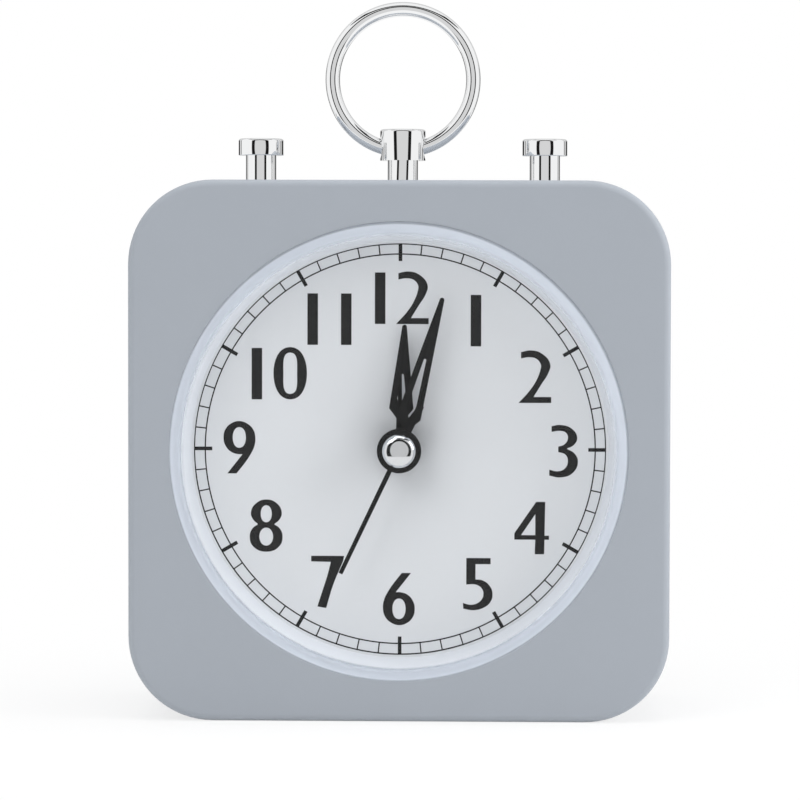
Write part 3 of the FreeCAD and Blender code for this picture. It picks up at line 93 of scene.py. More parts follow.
SIX_HOLE = oval_loop(0.307, 0.313, 0.126, 0.197)
NUMERAL_SHAPES = {
    "0": (oval_loop(0.32, 0.5, 0.32, 0.5), oval_loop(0.32, 0.5, 0.13, 0.395)),
    "1": (((0.0, 0.98, CORNER), (0.2, 0.98, CORNER), (0.2, 0.0, CORNER), (0.0, 0.0, CORNER)),),
    "2": ((
        (0.044, 0.968, CORNER), (0.238, 1.0), (0.44, 0.94), (0.60, 0.738), (0.56, 0.56), (0.44, 0.367),
        (0.285, 0.113, CORNER), (0.621, 0.113, CORNER), (0.621, 0.0, CORNER), (0.0, 0.0, CORNER),
        (0.214, 0.238), (0.343, 0.44), (0.415, 0.64), (0.423, 0.72), (0.343, 0.835), (0.214, 0.87),
        (0.044, 0.847, CORNER),
    ),),
    "3": ((
        (0.045, 0.977, CORNER), (0.214, 1.0), (0.43, 0.93), (0.534, 0.76), (0.47, 0.62),
        (0.335, 0.549, CORNER), (0.49, 0.45), (0.549, 0.30), (0.45, 0.085), (0.214, 0.0),
        (0.004, 0.034, CORNER), (0.004, 0.147, CORNER), (0.17, 0.117), (0.30, 0.17), (0.357, 0.30),
        (0.315, 0.43), (0.173, 0.485, CORNER), (0.173, 0.586, CORNER), (0.29, 0.63), (0.357, 0.745),
        (0.32, 0.85), (0.214, 0.887), (0.045, 0.868, CORNER),
    ),),
    "4": ((
        (0.413, 1.0, CORNER), (0.587, 1.0, CORNER), (0.575, 0.355, CORNER), (0.66, 0.355, CORNER),
        (0.66, 0.278, CORNER), (0.575, 0.278, CORNER), (0.568, 0.0, CORNER), (0.39, 0.0, CORNER),
        (0.398, 0.278, CORNER), (0.0, 0.278, CORNER), (0.0, 0.40, CORNER),
    ), ((0.398, 0.764, CORNER), (0.398, 0.363, CORNER), (0.127, 0.363, CORNER))),
    "5": ((
        (0.064, 0.998, CORNER), (0.528, 0.998, CORNER), (0.528, 0.882, CORNER), (0.24, 0.882, CORNER),
        (0.24, 0.589, CORNER), (0.369, 0.573), (0.505, 0.475), (0.566, 0.316), (0.52, 0.149),
        (0.384, 0.043), (0.202, 0.0), (0.009, 0.028, CORNER), (0.0, 0.138, CORNER), (0.142, 0.104),
        (0.263, 0.127), (0.361, 0.21), (0.392, 0.316), (0.361, 0.414), (0.27, 0.483), (0.187, 0.498),
        (0.064, 0.49, CORNER),
    ),),
    "6": (SIX_OUTLINE, SIX_HOLE),
    "7": ((
        (0.0, 1.0, CORNER), (0.628, 1.0, CORNER), (0.61, 0.9, CORNER), (0.47, 0.575), (0.405, 0.40),
        (0.287, 0.0, CORNER), (0.119, 0.03, CORNER), (0.225, 0.36), (0.31, 0.628), (0.375, 0.885, CORNER),
        (0.0, 0.893, CORNER),
    ),),
    "8": ((
        (0.323, 1.0), (0.525, 0.924), (0.615, 0.757), (0.575, 0.62), (0.471, 0.527, CORNER), (0.585, 0.437),
        (0.631, 0.29), (0.565, 0.1), (0.319, 0.0), (0.07, 0.1), (0.004, 0.285), (0.05, 0.437),
        (0.163, 0.527, CORNER), (0.065, 0.62), (0.027, 0.757), (0.122, 0.924),
    ), oval_loop(0.319, 0.726, 0.106, 0.163), oval_loop(0.319, 0.289, 0.131, 0.172)),
    "9": (turned_loop(SIX_OUTLINE, SIX_WIDTH_SHARE), turned_loop(SIX_HOLE, SIX_WIDTH_SHARE)),
}
# For each hour from twelve on: its figures, each with the place of its left side, and the height of their
# feet, in millimetres from the dial's middle.
NUMERAL_PLACES = (
    ((("1", -4.74), ("2", -0.8)), 23.33),
    ((("1", 13.1),), 19.21),
    ((("2", 22.05),), 8.72),
    ((("3", 27.77),), -5.15),
    ((("4", 21.35),), -19.52),
    ((("5", 11.78),), -30.05),
    ((("6", -3.14),), -32.92),
    ((("7", -16.55),), -29.78),
    ((("8", -28.08),), -19.28),
    ((("9", -32.94),), -4.65),
    ((("1", -27.7), ("0", -23.63)), 9.2),
    ((("1", -17.3), ("1", -11.05)), 19.4),
)


# Settings

def number(name, description, value, **kind):
    """A number that a user may change. kind holds its unit or its subtype."""
    return bpy.props.FloatProperty(name=name, description=description, default=value, **kind)


def length(name, description, mm):
    return number(name, description, mm * MM, unit="LENGTH")


def share(name, description, value):
    return number(name, description, value, subtype="FACTOR")


def angle(name, description, degrees):
    return number(name, description, math.radians(degrees), subtype="ANGLE")


def colour(name, description, *levels):
    """A colour as three scene-linear levels."""
    return bpy.props.FloatVectorProperty(
        name=name, description=description, default=levels, size=3, subtype="COLOR")


class ClockSizes(bpy.types.PropertyGroup):
    """Sizes of the dressed pieces."""
    opening_radius: length("Lens opening", "Radius of the round opening in the face", 42.4)
    lens_gap: length("Lens gap", "Gap between the lens and its opening", 0.1)
    lens_wall: length("Lens wall", "Thickness of the lens's side wall", 1.6)
    lens_thick: length("Lens thickness", "Thickness of the lens's front", 1.7)
    lens_round: length("Lens shoulder", "Radius of the lens's shoulder", 2.2)
    lens_crown: length("Lens crown", "How far the lens bulges in the middle", 0.4)
    lens_flange: length("Lens flange", "Thickness of the flange behind the face", 1.4)
    glare_share: share("Glare share", "How much of a clear plastic's glare the lens shows", 0.25)
    # Painted light: the lens's rim gets a milky whitish shader, lit by the lamps, that stands in for the
    # bright white ring seen through the lens's edge.
    painted_rim_light_start: length("Haze start", "Radius at which the lens begins to look milky", 39.3)
    painted_rim_light_full: length("Haze full", "Radius from which the lens looks fully milky", 40.6)
    painted_rim_light_share: share("Haze share", "How milky the lens's rim looks", 0.78)
    # Painted reflection: the outermost band of the lens is painted the case's grey, standing in for the case
    # that the lens's shoulder shows.
    painted_case_image_start: length("Edge start", "Radius at which the lens begins to show the grey of the case", 41.7)
    painted_case_image_full: length("Edge full", "Radius from which the lens shows the grey of the case", 42.1)
    ring_front_radius: length("Ring at the lens", "Inner radius of the sloping ring at its front", 40.6)
    ring_dial_radius: length("Ring at the dial", "Inner radius of the sloping ring at the dial", 39.0)
    ring_lip: length("Ring lip", "Round on the inner front edge of the sloping ring", 0.15)
    dial_hole: length("Dial hole", "Radius of the hole in the dial", 3.5)
    dial_lip: length("Dial lip", "Round on the front edge of the dial's hole", 0.06)
    track_outer: length("Track outside", "Radius of the minute track's outer circle", 38.35)
    track_inner: length("Track inside", "Radius of the minute track's inner circle", 36.35)
    track_line: length("Track line", "Width of the track's thin lines", 0.24)
    hour_tick_inner: length("Hour mark foot", "Radius at which the hour marks end", 35.05)
    hour_tick_width: length("Hour mark width", "Width of the hour marks", 0.68)
    numeral_height: length("Numeral height", "Height of the numerals", 9.78)
    ink_lift: length("Ink thickness", "How far the print stands off the dial", 0.02)
    hand_edge: length("Hand edge", "Bevel on the edges of the hands", 0.05)
    cap_crown_ball: length("Cap crown ball", "Ball radius of the hub cap's shallow crown", 7.0)
    cap_crown_radius: length("Cap crown", "Radius of the hub cap's shallow crown", 2.2)
    cap_shoulder: angle("Cap shoulder", "Slope at which the hub cap's shoulder ends", 80)
    button_head: length("Button head", "Height of the buttons' heads", 3.2)
    button_stem: length("Button stem", "Radius of the buttons' stems", 2.9)
    button_rod: length("Button rod", "Radius of the rod under each stem", 1.4)
    rod_top: length("Rod top", "Height above the floor at which a stem narrows to its rod", 95)
    head_edge: length("Head edge", "Round on the upper edges of the buttons' heads", 0.5)
    head_foot_edge: length("Head foot edge", "Round on the lower edges of the buttons' heads", 0.15)
    sleeve_thick: length("Sleeve thickness", "Thickness of the battery's sleeve", 0.1)
    sleeve_lap: length("Bare end", "Bare length of the can at each end of the battery", 0.55)
    can_edge: length("Can edge", "Round on the ends of the battery's can", 0.5)
    nub_radius: length("Nub radius", "Radius of the battery's nub", 2.6)
    nub_height: length("Nub height", "Height of the battery's nub", 1.1)
    nub_edge: length("Nub edge", "Round on the edge of the battery's nub", 0.3)
    moulding_edge: length("Moulding edge", "Small round on the edges of moulded pieces", 0.12)


class ClockColours(bpy.types.PropertyGroup):
    """Colours of the materials."""
    case: colour("Case", "Soft-touch grey of the case", 0.374, 0.403, 0.445)
    lens: colour("Lens", "Tint of the clear lens", 0.985, 0.99, 0.995)
    # Painted light: the whitish tint of the lens's rim stands in for the bright white ring seen through the
    # lens's edge.
    painted_rim_light: colour("Lens haze", "Tint of the milky rim of the lens", 0.80, 0.85, 0.93)
    ring: colour("Inner ring", "White of the ring round the dial", 0.74, 0.77, 0.82)
    dial: colour("Dial", "White of the dial", 0.712, 0.732, 0.757)
    ink: colour("Ink", "Charcoal of the print", 0.015, 0.015, 0.0155)
    hands: colour("Hands", "Black of the hands", 0.006, 0.006, 0.0065)
    sleeve: colour("Battery sleeve", "Blue-grey of the battery's sleeve", 0.16, 0.25, 0.36)
    chrome: colour("Chrome", "Tint of the chrome", 0.9, 0.905, 0.91)
    hub_cap: colour("Hub cap", "Tint of the hub cap's darker chrome", 0.71, 0.72, 0.735)
    steel: colour("Steel", "Tint of the steel pieces", 0.5, 0.51, 0.53)
    brass: colour("Brass", "Tint of the brass pieces", 0.72, 0.52, 0.24)
    copper: colour("Copper", "Tint of the wound wire", 0.72, 0.32, 0.16)
    magnet: colour("Magnet", "Dark grey of the rotor's magnet", 0.16, 0.16, 0.17)
    knobs: colour("Knobs", "Black of the knobs and of the movement's case", 0.016, 0.016, 0.017)
    plates: colour("Plates", "Off-white of the movement's plates", 0.60, 0.60, 0.57)
    gears: colour("Gears", "Cream of the nylon gears", 0.76, 0.74, 0.66)
    board: colour("Board", "Green of the circuit boards", 0.018, 0.105, 0.04)
    lamp: colour("Lamp", "Tint of the dial lamp's clear resin", 0.82, 0.85, 0.87)


# Mesh helpers

def profile_arc(radius, rise, top, steps):
    """Points (radius, height) from the middle of a ball-shaped dome out to its edge."""
    ball = (radius ** 2 + rise ** 2) / (2 * rise)
    sweep = math.asin(radius / ball)
    angles = [sweep * i / steps for i in range(steps + 1)]
    return [(ball * math.sin(a), top - ball * (1 - math.cos(a))) for a in angles]


def cap_profile(radius, ball, flat_radius, slope, top, steps=14):
    """Points of a cap with a shallow ball-shaped crown and a tight shoulder that ends at a steep slope."""
    start = math.asin(flat_radius / ball)
    crown = [(ball * math.sin(start * i / steps), top - ball * (1 - math.cos(start * i / steps)))
             for i in range(steps)]
    tight = (radius - flat_radius) / (math.sin(slope) - math.sin(start))
    shoulder_top = top - ball * (1 - math.cos(start))
    angles = [start + (slope - start) * i / steps for i in range(steps + 1)]
    return crown + [(flat_radius + tight * (math.sin(a) - math.sin(start)),
                     shoulder_top - tight * (math.cos(start) - math.cos(a))) for a in angles]


def turn_profile(profile, rounds=(), steps=128, closed=False):
    """Spins (radius, height) points about Z. rounds holds (point index, width, segments) of turned edges."""
    bm = bmesh.new()
    verts = [bm.verts.new((radius, 0, height)) for radius, height in profile]
    pairs = list(zip(verts, verts[1:]))
    if closed:
        pairs.append((verts[-1], verts[0]))
    edges = [bm.edges.new(pair) for pair in pairs]
    bmesh.ops.spin(bm, geom=verts + edges, cent=(0, 0, 0), axis=(0, 0, 1), angle=FULL_TURN, steps=steps,
                   use_merge=True)
    bmesh.ops.remove_doubles(bm, verts=bm.verts[:], dist=TOUCHING)
    bmesh.ops.recalc_face_normals(bm, faces=bm.faces[:])
    for index, width, segments in rounds:
        radius, height = profile[index]
        rim = [e for e in bm.edges if all(on_circle(v.co, radius, height) for v in e.verts)]
        bmesh.ops.bevel(bm, geom=rim, offset=width, segments=segments, profile=0.5, affect="EDGES",
                        material=-1)
    return bm


def on_circle(point, radius, height):
    """Whether a point of a turned piece lies on one of its circles."""
    return (abs(point.z - height) < MERGE_REACH
            and abs(math.hypot(point.x, point.y) - radius) < MERGE_REACH)


def face_front(bm):
    """Turns a piece made along Z so that its heights run to the front, and sets it on the dial's axis."""
    bmesh.ops.rotate(bm, verts=bm.verts[:], cent=(0, 0, 0), matrix=Matrix.Rotation(math.pi / 2, 3, "X"))
    bmesh.ops.translate(bm, verts=bm.verts[:], vec=(0, 0, MID_Z))
    return bm


def add_object(name, data):
    """An object in the scene, at the origin."""
    thing = bpy.data.objects.new(name, data)
    bpy.context.scene.collection.objects.link(thing)
    return thing


def make_mesh(name, bm):
    """A mesh from a bmesh, which is freed."""
    mesh = bpy.data.meshes.new(name)
    bm.to_mesh(mesh)
    bm.free()
    return mesh


def make_piece(name, bm, body, material, replaced=(), sharp_deg=35):
    """Turns a bmesh into a smooth-shaded piece that rides on a body."""
    mesh = make_mesh(name, bm)
    mesh.materials.append(material)
    mesh.shade_smooth()
    mesh.set_sharp_from_angle(angle=math.radians(sharp_deg))
    piece = add_object(name, mesh)
    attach(piece, body)
    if replaced:
        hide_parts(*replaced)
    return piece


def keep_node(node, material, soft_edge=0.0, sharp_deg=32):
    """A construction piece keeps its shape and gets a material, merged faces, soft edges and even shading."""
    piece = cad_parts[node]
    piece.data.materials.clear()
    piece.data.materials.append(material)
    piece.data.shade_smooth()
    piece.modifiers.new("merge", "WELD").merge_threshold = MERGE_REACH
    split_deg = sharp_deg
    if soft_edge:
        bevel = piece.modifiers.new("soft_edge", "BEVEL")
        bevel.width = soft_edge
        bevel.segments = 2
        bevel.limit_method = "ANGLE"
        bevel.angle_limit = math.radians(sharp_deg)
        split_deg += BEVEL_SPARE_DEG
    piece.modifiers.new("sharp_edges", "EDGE_SPLIT").split_angle = math.radians(split_deg)
    piece.modifiers.new("even_shading", "WEIGHTED_NORMAL")


def merged_copy(node):
    """A bmesh of a construction piece with its loose triangles joined."""
    bm = bmesh.new()
    bm.from_mesh(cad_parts[node].data)
    bmesh.ops.remove_doubles(bm, verts=bm.verts[:], dist=MERGE_REACH)
    return bm


def bevelled_copy(name, node, body, material, width, sharp_deg=32):
    """A merged copy of a construction piece with its sharp edges bevelled stands for that piece."""
    bm = merged_copy(node)
    bmesh.ops.dissolve_limit(bm, angle_limit=NEARLY_FLAT, verts=bm.verts[:], edges=bm.edges[:])
    sharp = [e for e in bm.edges if len(e.link_faces) == 2 and e.calc_face_angle() > math.radians(sharp_deg)]
    bmesh.ops.bevel(bm, geom=sharp, offset=width, segments=2, profile=0.5, affect="EDGES", material=-1)
    make_piece(name, bm, body, material, (node,))


# Shader nodes

def feed(tree, socket, value):
    """Links an input to another socket, or gives it a plain value."""
    if isinstance(value, bpy.types.NodeSocket):
        tree.links.new(value, socket)
    else:
        socket.default_value = value


def add_node(tree, kind, inputs=None, **settings):
    """A node with its settings, and a value or a link for each input that is named or numbered."""
    node = tree.nodes.new(kind)
    for name, value in settings.items():
        setattr(node, name, value)
    for label, value in (inputs or {}).items():
        feed(tree, node.inputs[label], value)
    return node


def math_node(tree, operation, first, second=0.0):
    """A Math node whose two values are sockets or numbers."""
    return add_node(tree, "ShaderNodeMath", {0: first, 1: second}, operation=operation).outputs[0]


def map_range(tree, value, low, high, start=0.0, end=1.0, way="LINEAR"):
    """Carries a value from between low and high to between start and end, and holds it there."""
    inputs = {"Value": value, "From Min": low, "From Max": high, "To Min": start, "To Max": end}
    return add_node(tree, "ShaderNodeMapRange", inputs, interpolation_type=way).outputs[0]


def ramp_value(tree, value, stops):
    """A grey ramp over a value, with a stop for each (position, level)."""
    node = add_node(tree, "ShaderNodeValToRGB", {"Fac": value})
    ramp = node.color_ramp
    while len(ramp.elements) < len(stops):
        ramp.elements.new(0.5)
    for element, (position, level) in zip(ramp.elements, stops):
        element.position = position
        element.color = (level, level, level, 1)
    return node.outputs["Color"]


def object_place(tree):
    """The place on the piece, in metres."""
    return add_node(tree, "ShaderNodeTexCoord").outputs["Object"]


def distance_from_origin(tree, vector):
    return add_node(tree, "ShaderNodeVectorMath", {0: vector}, operation="LENGTH").outputs["Value"]


def mix_shaders(tree, mask, first, second):
    """A Mix Shader node: the first shader where the mask is 0, the second where it is 1."""
    inputs = {"Fac": mask, 1: first.outputs[0], 2: second.outputs[0]}
    return add_node(tree, "ShaderNodeMixShader", inputs)


def noise_value(tree, vector, scale, detail, roughness=0.5):
    """Noise between 0 and 1, about 0.5."""
    inputs = {"Vector": vector, "Scale": scale, "Detail": detail, "Roughness": roughness}
    return add_node(tree, "ShaderNodeTexNoise", inputs).outputs["Fac"]


def noise_swing(tree, noise, reach):
    """Noise moved about nought, where it swings by its reach in all."""
    return math_node(tree, "MULTIPLY", math_node(tree, "SUBTRACT", noise, 0.5), reach)


# Shader groups

def skin_group(name, values):
    """An empty group that takes a colour and named values, and gives a colour, a roughness and a height."""
    group = bpy.data.node_groups.new(name, "ShaderNodeTree")
    sockets = group.interface
    sockets.new_socket(name="Colour", in_out="INPUT", socket_type="NodeSocketColor")
    for label, value in values.items():
        socket = sockets.new_socket(name=label, in_out="INPUT", socket_type="NodeSocketFloat")
        socket.default_value = value
    sockets.new_socket(name="Colour", in_out="OUTPUT", socket_type="NodeSocketColor")
    for label in ("Roughness", "Height"):
        sockets.new_socket(name=label, in_out="OUTPUT", socket_type="NodeSocketFloat")
    return group, add_node(group, "NodeGroupInput").outputs


def finish_skin(group, given, tone, drift, height):
    """Puts out the colour times its tone, the roughness with its drift, and the height."""
    toned = add_node(group, "ShaderNodeVectorMath", {0: given["Colour"], "Scale": tone}, operation="SCALE")
    worn = math_node(group, "ADD", noise_swing(group, drift, given["Spread"]), given["Roughness"])
    add_node(group, "NodeGroupOutput", {"Colour": toned.outputs[0], "Roughness": worn, "Height": height})
    return group


def moulded_skin_group():
    """Moulded plastic: a fine grain, a slow drift of tone and a roughness that varies a little."""
    group, given = skin_group(
        "moulded_skin", {"Tone": 0.03, "Grain": 4000.0, "Roughness": 0.45, "Spread": 0.08})
    place = object_place(group)
    drift = noise_value(group, place, scale=35.0, detail=3.0)
    fine = noise_value(group, place, scale=given["Grain"], detail=3.0, roughness=0.6)
    shift = noise_swing(group, drift, given["Tone"])
    speck = noise_swing(group, fine, math_node(group, "MULTIPLY", given["Tone"], 0.5))
    tone = math_node(group, "ADD", math_node(group, "ADD", shift, speck), 1.0)
    return finish_skin(group, given, tone, drift, fine)


def metal_skin_group():
    """Drawn or rolled metal: fine marks along one way, with a slow drift of roughness."""
    group, given = skin_group("metal_skin", {"Tone": 0.06, "Roughness": 0.3, "Spread": 0.12})
    place = object_place(group)
    drawn = add_node(group, "ShaderNodeMapping", {"Vector": place, "Scale": (1.0, 9.0, 1.0)})
    marks = noise_value(group, drawn.outputs[0], scale=900.0, detail=4.0, roughness=0.65)
    drift = noise_value(group, place, scale=120.0, detail=3.0)
    tone = math_node(group, "ADD", 1.0, noise_swing(group, marks, given["Tone"]))
    return finish_skin(group, given, tone, drift, marks)


# Materials

def new_material(name, inputs):
    """A material with its tree and its Principled shader, whose named inputs get values."""
    material = bpy.data.materials.new(name)
    material.use_nodes = True
    tree = material.node_tree
    shader = tree.nodes["Principled BSDF"]
    for label, value in inputs.items():
        shader.inputs[label].default_value = value
    return material, tree, shader


def set_surface(tree, shader):
    tree.links.new(shader.outputs[0], tree.nodes["Material Output"].inputs["Surface"])


def group_of(name, maker):
    """A shader group, made the first time that it is asked for."""
    return bpy.data.node_groups[name] if name in bpy.data.node_groups else maker()


def skin_material(name, group, tint, values, bump, plain):
    """A Principled material fed by a skin group. values go to the group and plain to the shader's sockets."""
    if name in bpy.data.materials:
        return bpy.data.materials[name]
    material, tree, shader = new_material(name, plain)
    skin = add_node(tree, "ShaderNodeGroup", {"Colour": (*tint, 1), **values}, node_tree=group).outputs
    strength, depth = bump
    relief = add_node(tree, "ShaderNodeBump",
                      {"Strength": strength, "Distance": depth, "Height": skin["Height"]})
    feed(tree, shader.inputs["Base Color"], skin["Colour"])
    feed(tree, shader.inputs["Roughness"], skin["Roughness"])
    feed(tree, shader.inputs["Normal"], relief.outputs["Normal"])
    return material


def moulded(name, tint, roughness=0.45, grain=4000.0, depth=0.01 * MM, strength=0.25, tone=0.04, **plain):
    """Moulded plastic, lacquer or paint. plain holds values for the shader's own sockets."""
    values = {"Roughness": roughness, "Grain": grain, "Tone": tone}
    group = group_of("moulded_skin", moulded_skin_group)
    return skin_material(name, group, tint, values, (strength, depth), plain)


def metal(name, tint, roughness=0.3, tone=0.06, spread=0.12, strength=0.15, depth=0.004 * MM):
    """Bare, drawn or plated metal."""
    values = {"Roughness": roughness, "Tone": tone, "Spread": spread}
    group = group_of("metal_skin", metal_skin_group)
    return skin_material(name, group, tint, values, (strength, depth), {"Metallic": 1.0})


def chrome_material(name, tint):
    return metal(name, tint, roughness=0.02, tone=0.01, spread=0.01, strength=0.0)


def steel_material():
    return metal("zinc_steel", colours().steel, roughness=0.32)


def brass_material():
    return metal("turned_brass", colours().brass, roughness=0.27)


def black_plastic_material():
    return moulded("black_moulding", colours().knobs, roughness=0.4, tone=0.15)


ACRYLIC_IOR = 1.49


def lens_material():
    """Clear plastic. Light that falls through it passes straight on, so the dial is lit as in the open. Its
    rim carries painted light: a milky whitish band stands in for the bright white ring seen through the edge,
    and the outermost band is painted the case's grey as a painted reflection of the case.
    """
    s, c = sizes(), colours()
    material, tree, shader = new_material("lens_acrylic", {
        "Base Color": (*c.lens, 1), "Roughness": 0.0, "IOR": ACRYLIC_IOR, "Transmission Weight": 1.0})
    through = add_node(tree, "ShaderNodeBsdfRefraction", {"IOR": ACRYLIC_IOR})
    calm = mix_shaders(tree, 1 - s.glare_share, shader, through)
    # Painted reflection: the outermost band is painted the case's grey, standing in for the case that the
    # lens's shoulder shows.
    edge = rim_mask(tree, s.painted_case_image_start, s.painted_case_image_full, 1.0)
    tint = add_node(tree, "ShaderNodeMix", {"Factor": edge}, data_type="RGBA")
    painted_rim_light_colour, painted_case_image_colour = (socket for socket in tint.inputs if socket.type == "RGBA")
    painted_rim_light_colour.default_value = (*c.painted_rim_light, 1)
    painted_case_image_colour.default_value = (*c.case, 1)
    tinted = next(socket for socket in tint.outputs if socket.type == "RGBA")
    # Painted light: a milky whitish band, lit by the lamps, stands in for the bright white ring seen through
    # the lens's edge.
    painted_rim_light_shader = mix_shaders(tree, 0.5, add_node(tree, "ShaderNodeBsdfTranslucent", {"Color": tinted}),
                       add_node(tree, "ShaderNodeBsdfDiffuse", {"Color": tinted}))
    rim = mix_shaders(tree, rim_mask(tree, s.painted_rim_light_start, s.painted_rim_light_full, s.painted_rim_light_share), calm, painted_rim_light_shader)
    path = add_node(tree, "ShaderNodeLightPath").outputs
    passing = math_node(tree, "MAXIMUM", path["Is Shadow Ray"], path["Is Diffuse Ray"])
    set_surface(tree, mix_shaders(tree, passing, rim, add_node(tree, "ShaderNodeBsdfTransparent")))
    return material


def rim_mask(tree, start, full, most):
    """A mask that rises with the distance from the dial's axis."""
    centred = add_node(tree, "ShaderNodeMapping", {"Vector": object_place(tree), "Location": (0, 0, -MID_Z)})
    flat = add_node(tree, "ShaderNodeVectorMath", {0: centred.outputs[0], 1: (1, 0, 1)}, operation="MULTIPLY")
    away = distance_from_origin(tree, flat.outputs[0])
    return map_range(tree, away, start, full, end=most, way="SMOOTHSTEP")


def sizes():
    return bpy.context.scene.clock_sizes


def colours():
    return bpy.context.scene.clock_colours


# Operators

class CLOCK_OT_case(bpy.types.Operator):
    """Finish the moulded case, its cover, door and screws"""
    bl_idname = "clock.case"
    bl_label = "Case"

    def execute(self, context):
        grey = moulded("case_grey_soft_touch", colours().case, roughness=0.5, grain=5200.0, strength=0.3,
                       tone=0.03)
        for node in ("front_housing", "rear_cover", "battery_door"):
            keep_node(node, grey, sizes().moulding_edge)
        keep_node("case_screws", steel_material(), sizes().moulding_edge / 2)
        return {"FINISHED"}


class CLOCK_OT_lens(bpy.types.Operator):
    """Turn the clear lens"""
    bl_idname = "clock.lens"
    bl_label = "Lens"

    def execute(self, context):
        s = sizes()
        low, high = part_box("lens")
        outer = s.opening_radius - s.lens_gap
        flange = (high.x - low.x) / 2
        inner = outer - s.lens_wall
        back = -high.y
        face_back = back + s.lens_flange
        top = -low.y - s.lens_crown
        under = top - s.lens_thick
        crown = profile_arc(outer - s.lens_round, s.lens_crown, top + s.lens_crown, steps=12)
        hollow = profile_arc(inner, s.lens_crown, under + s.lens_crown, steps=12)
        profile = crown + shoulder_arc(outer, top, s.lens_round, steps=10)
        profile += [(outer, face_back), (flange, face_back), (flange, back), (inner, back)]
        inside_corner = len(profile)
        profile += reversed(hollow)
        bm = turn_profile(profile, ((inside_corner, s.lens_round - s.lens_wall, 3),), steps=360)
        make_piece("lens_glass", face_front(bm), "case", lens_material(), ("lens",),
                   sharp_deg=50)
        return {"FINISHED"}


def shoulder_arc(outer, top, radius, steps):
    """The quarter round from the front of the lens into its side."""
    angles = [math.pi / 2 * (i + 1) / steps for i in range(steps)]
    return [(outer - radius + radius * math.sin(a), top - radius + radius * math.cos(a)) for a in angles]


class CLOCK_OT_dial(bpy.types.Operator):
    """Make the dial and the sloping ring round it"""
    bl_idname = "clock.dial"
    bl_label = "Dial and ring"

    def execute(self, context):
        s = sizes()
        low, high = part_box("dial_ring")
        outer = (high.x - low.x) / 2
        ring_paint = moulded("ring_white_satin", colours().ring, roughness=0.32, grain=3000.0, strength=0.08,
                             tone=0.015)
        bm = turn_profile([(s.ring_front_radius, -low.y), (outer, -low.y), (outer, -high.y),
                           (s.ring_dial_radius, -high.y)], ((0, s.ring_lip, 3),), steps=192, closed=True)
        make_piece("sloping_ring", face_front(bm), "case", ring_paint, ("dial_ring",))
        low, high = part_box("dial")
        dial_paint = moulded("dial_white_matt", colours().dial, roughness=0.6, grain=9000.0, strength=0.1,
                             tone=0.012)
        bm = turn_profile([(s.dial_hole, -low.y), (outer, -low.y), (outer, -high.y), (s.dial_hole, -high.y)],
                          ((0, s.dial_lip, 2),), steps=192, closed=True)
        make_piece("dial_face", face_front(bm), "case", dial_paint, ("dial",))
        return {"FINISHED"}


class CLOCK_OT_print(bpy.types.Operator):
    """Print the minute track and the numerals on the dial"""
    bl_idname = "clock.print"
    bl_label = "Dial print"

    def execute(self, context):
        s = sizes()
        ink = moulded("dial_ink", colours().ink, roughness=0.5, grain=9000.0, strength=0.15, tone=0.6,
                      **{"Specular IOR Level": 0.12})
        bm = bmesh.new()
        for radius in (s.track_outer, s.track_inner):
            add_circle_line(bm, radius, s.track_line)
        for minute in range(60):
            if minute % 5:
                add_tick(bm, s.track_inner, s.track_outer, s.track_line, minute)
            else:
                add_tick(bm, s.hour_tick_inner, s.track_outer + s.track_line / 2, s.hour_tick_width, minute)
        lay_on_dial(bm)
        make_piece("minute_track", bm, "case", ink)
        for hour, (figures, foot) in enumerate(NUMERAL_PLACES):
            bm = bmesh.new()
            for figure, left in figures:
                add_numeral(bm, figure, left * MM, foot * MM, s.numeral_height)
            lay_on_dial(bm)
            make_piece(f"numeral_{hour or 12}", bm, "case", ink)
        return {"FINISHED"}


def add_circle_line(bm, radius, width):
    """A thin flat ring, spun from one short edge."""
    ends = [bm.verts.new((radius + side * width / 2, 0, 0)) for side in (-1, 1)]
    edge = bm.edges.new(ends)
    bmesh.ops.spin(bm, geom=ends + [edge], cent=(0, 0, 0), axis=(0, 0, 1), angle=FULL_TURN, steps=240,
                   use_merge=True)


def add_tick(bm, inner, outer, width, minute):
    """A flat bar across the track, turned clockwise from the top."""
    made = bmesh.ops.create_grid(bm, x_segments=1, y_segments=1, size=0.5)["verts"]
    bmesh.ops.scale(bm, verts=made, vec=(width, outer - inner, 1))
    bmesh.ops.translate(bm, verts=made, vec=(0, (inner + outer) / 2, 0))
    turn = Matrix.Rotation(-minute * FULL_TURN / 60, 3, "Z")
    bmesh.ops.rotate(bm, verts=made, cent=(0, 0, 0), matrix=turn)


def add_numeral(bm, figure, left, foot, height):
    """A figure drawn as a filled flat curve, made a mesh and added with its foot at (left, foot)."""
    curve = bpy.data.curves.new(f"figure_{figure}", "CURVE")
    curve.dimensions = "2D"
    curve.fill_mode = "BOTH"
    curve.resolution_u = 8
    for loop in NUMERAL_SHAPES[figure]:
        spline = curve.splines.new("BEZIER")
        spline.bezier_points.add(len(loop) - 1)
        spline.use_cyclic_u = True
        for point, (x, z, *kind) in zip(spline.bezier_points, loop):
            point.co = (left + x * height, foot + z * height, 0)
            point.handle_left_type = point.handle_right_type = kind[0] if kind else ROUND
    holder = add_object(curve.name, curve)
    bpy.context.view_layer.update()
    mesh = bpy.data.meshes.new_from_object(holder.evaluated_get(bpy.context.evaluated_depsgraph_get()))
    bm.from_mesh(mesh)
    bpy.data.objects.remove(holder)
    bpy.data.curves.remove(curve)
    bpy.data.meshes.remove(mesh)


def lay_on_dial(bm):
    """Turns a flat print to face the front and lays it on the dial."""
    for face in bm.faces:
        face.normal_update()
    back = [f for f in bm.faces if f.normal.z < 0]
    bmesh.ops.reverse_faces(bm, faces=back)
    bmesh.ops.solidify(bm, geom=bm.faces[:], thickness=sizes().ink_lift)
    bmesh.ops.translate(bm, verts=bm.verts[:], vec=(0, 0, -DIAL_FRONT + sizes().ink_lift))
    face_front(bm)


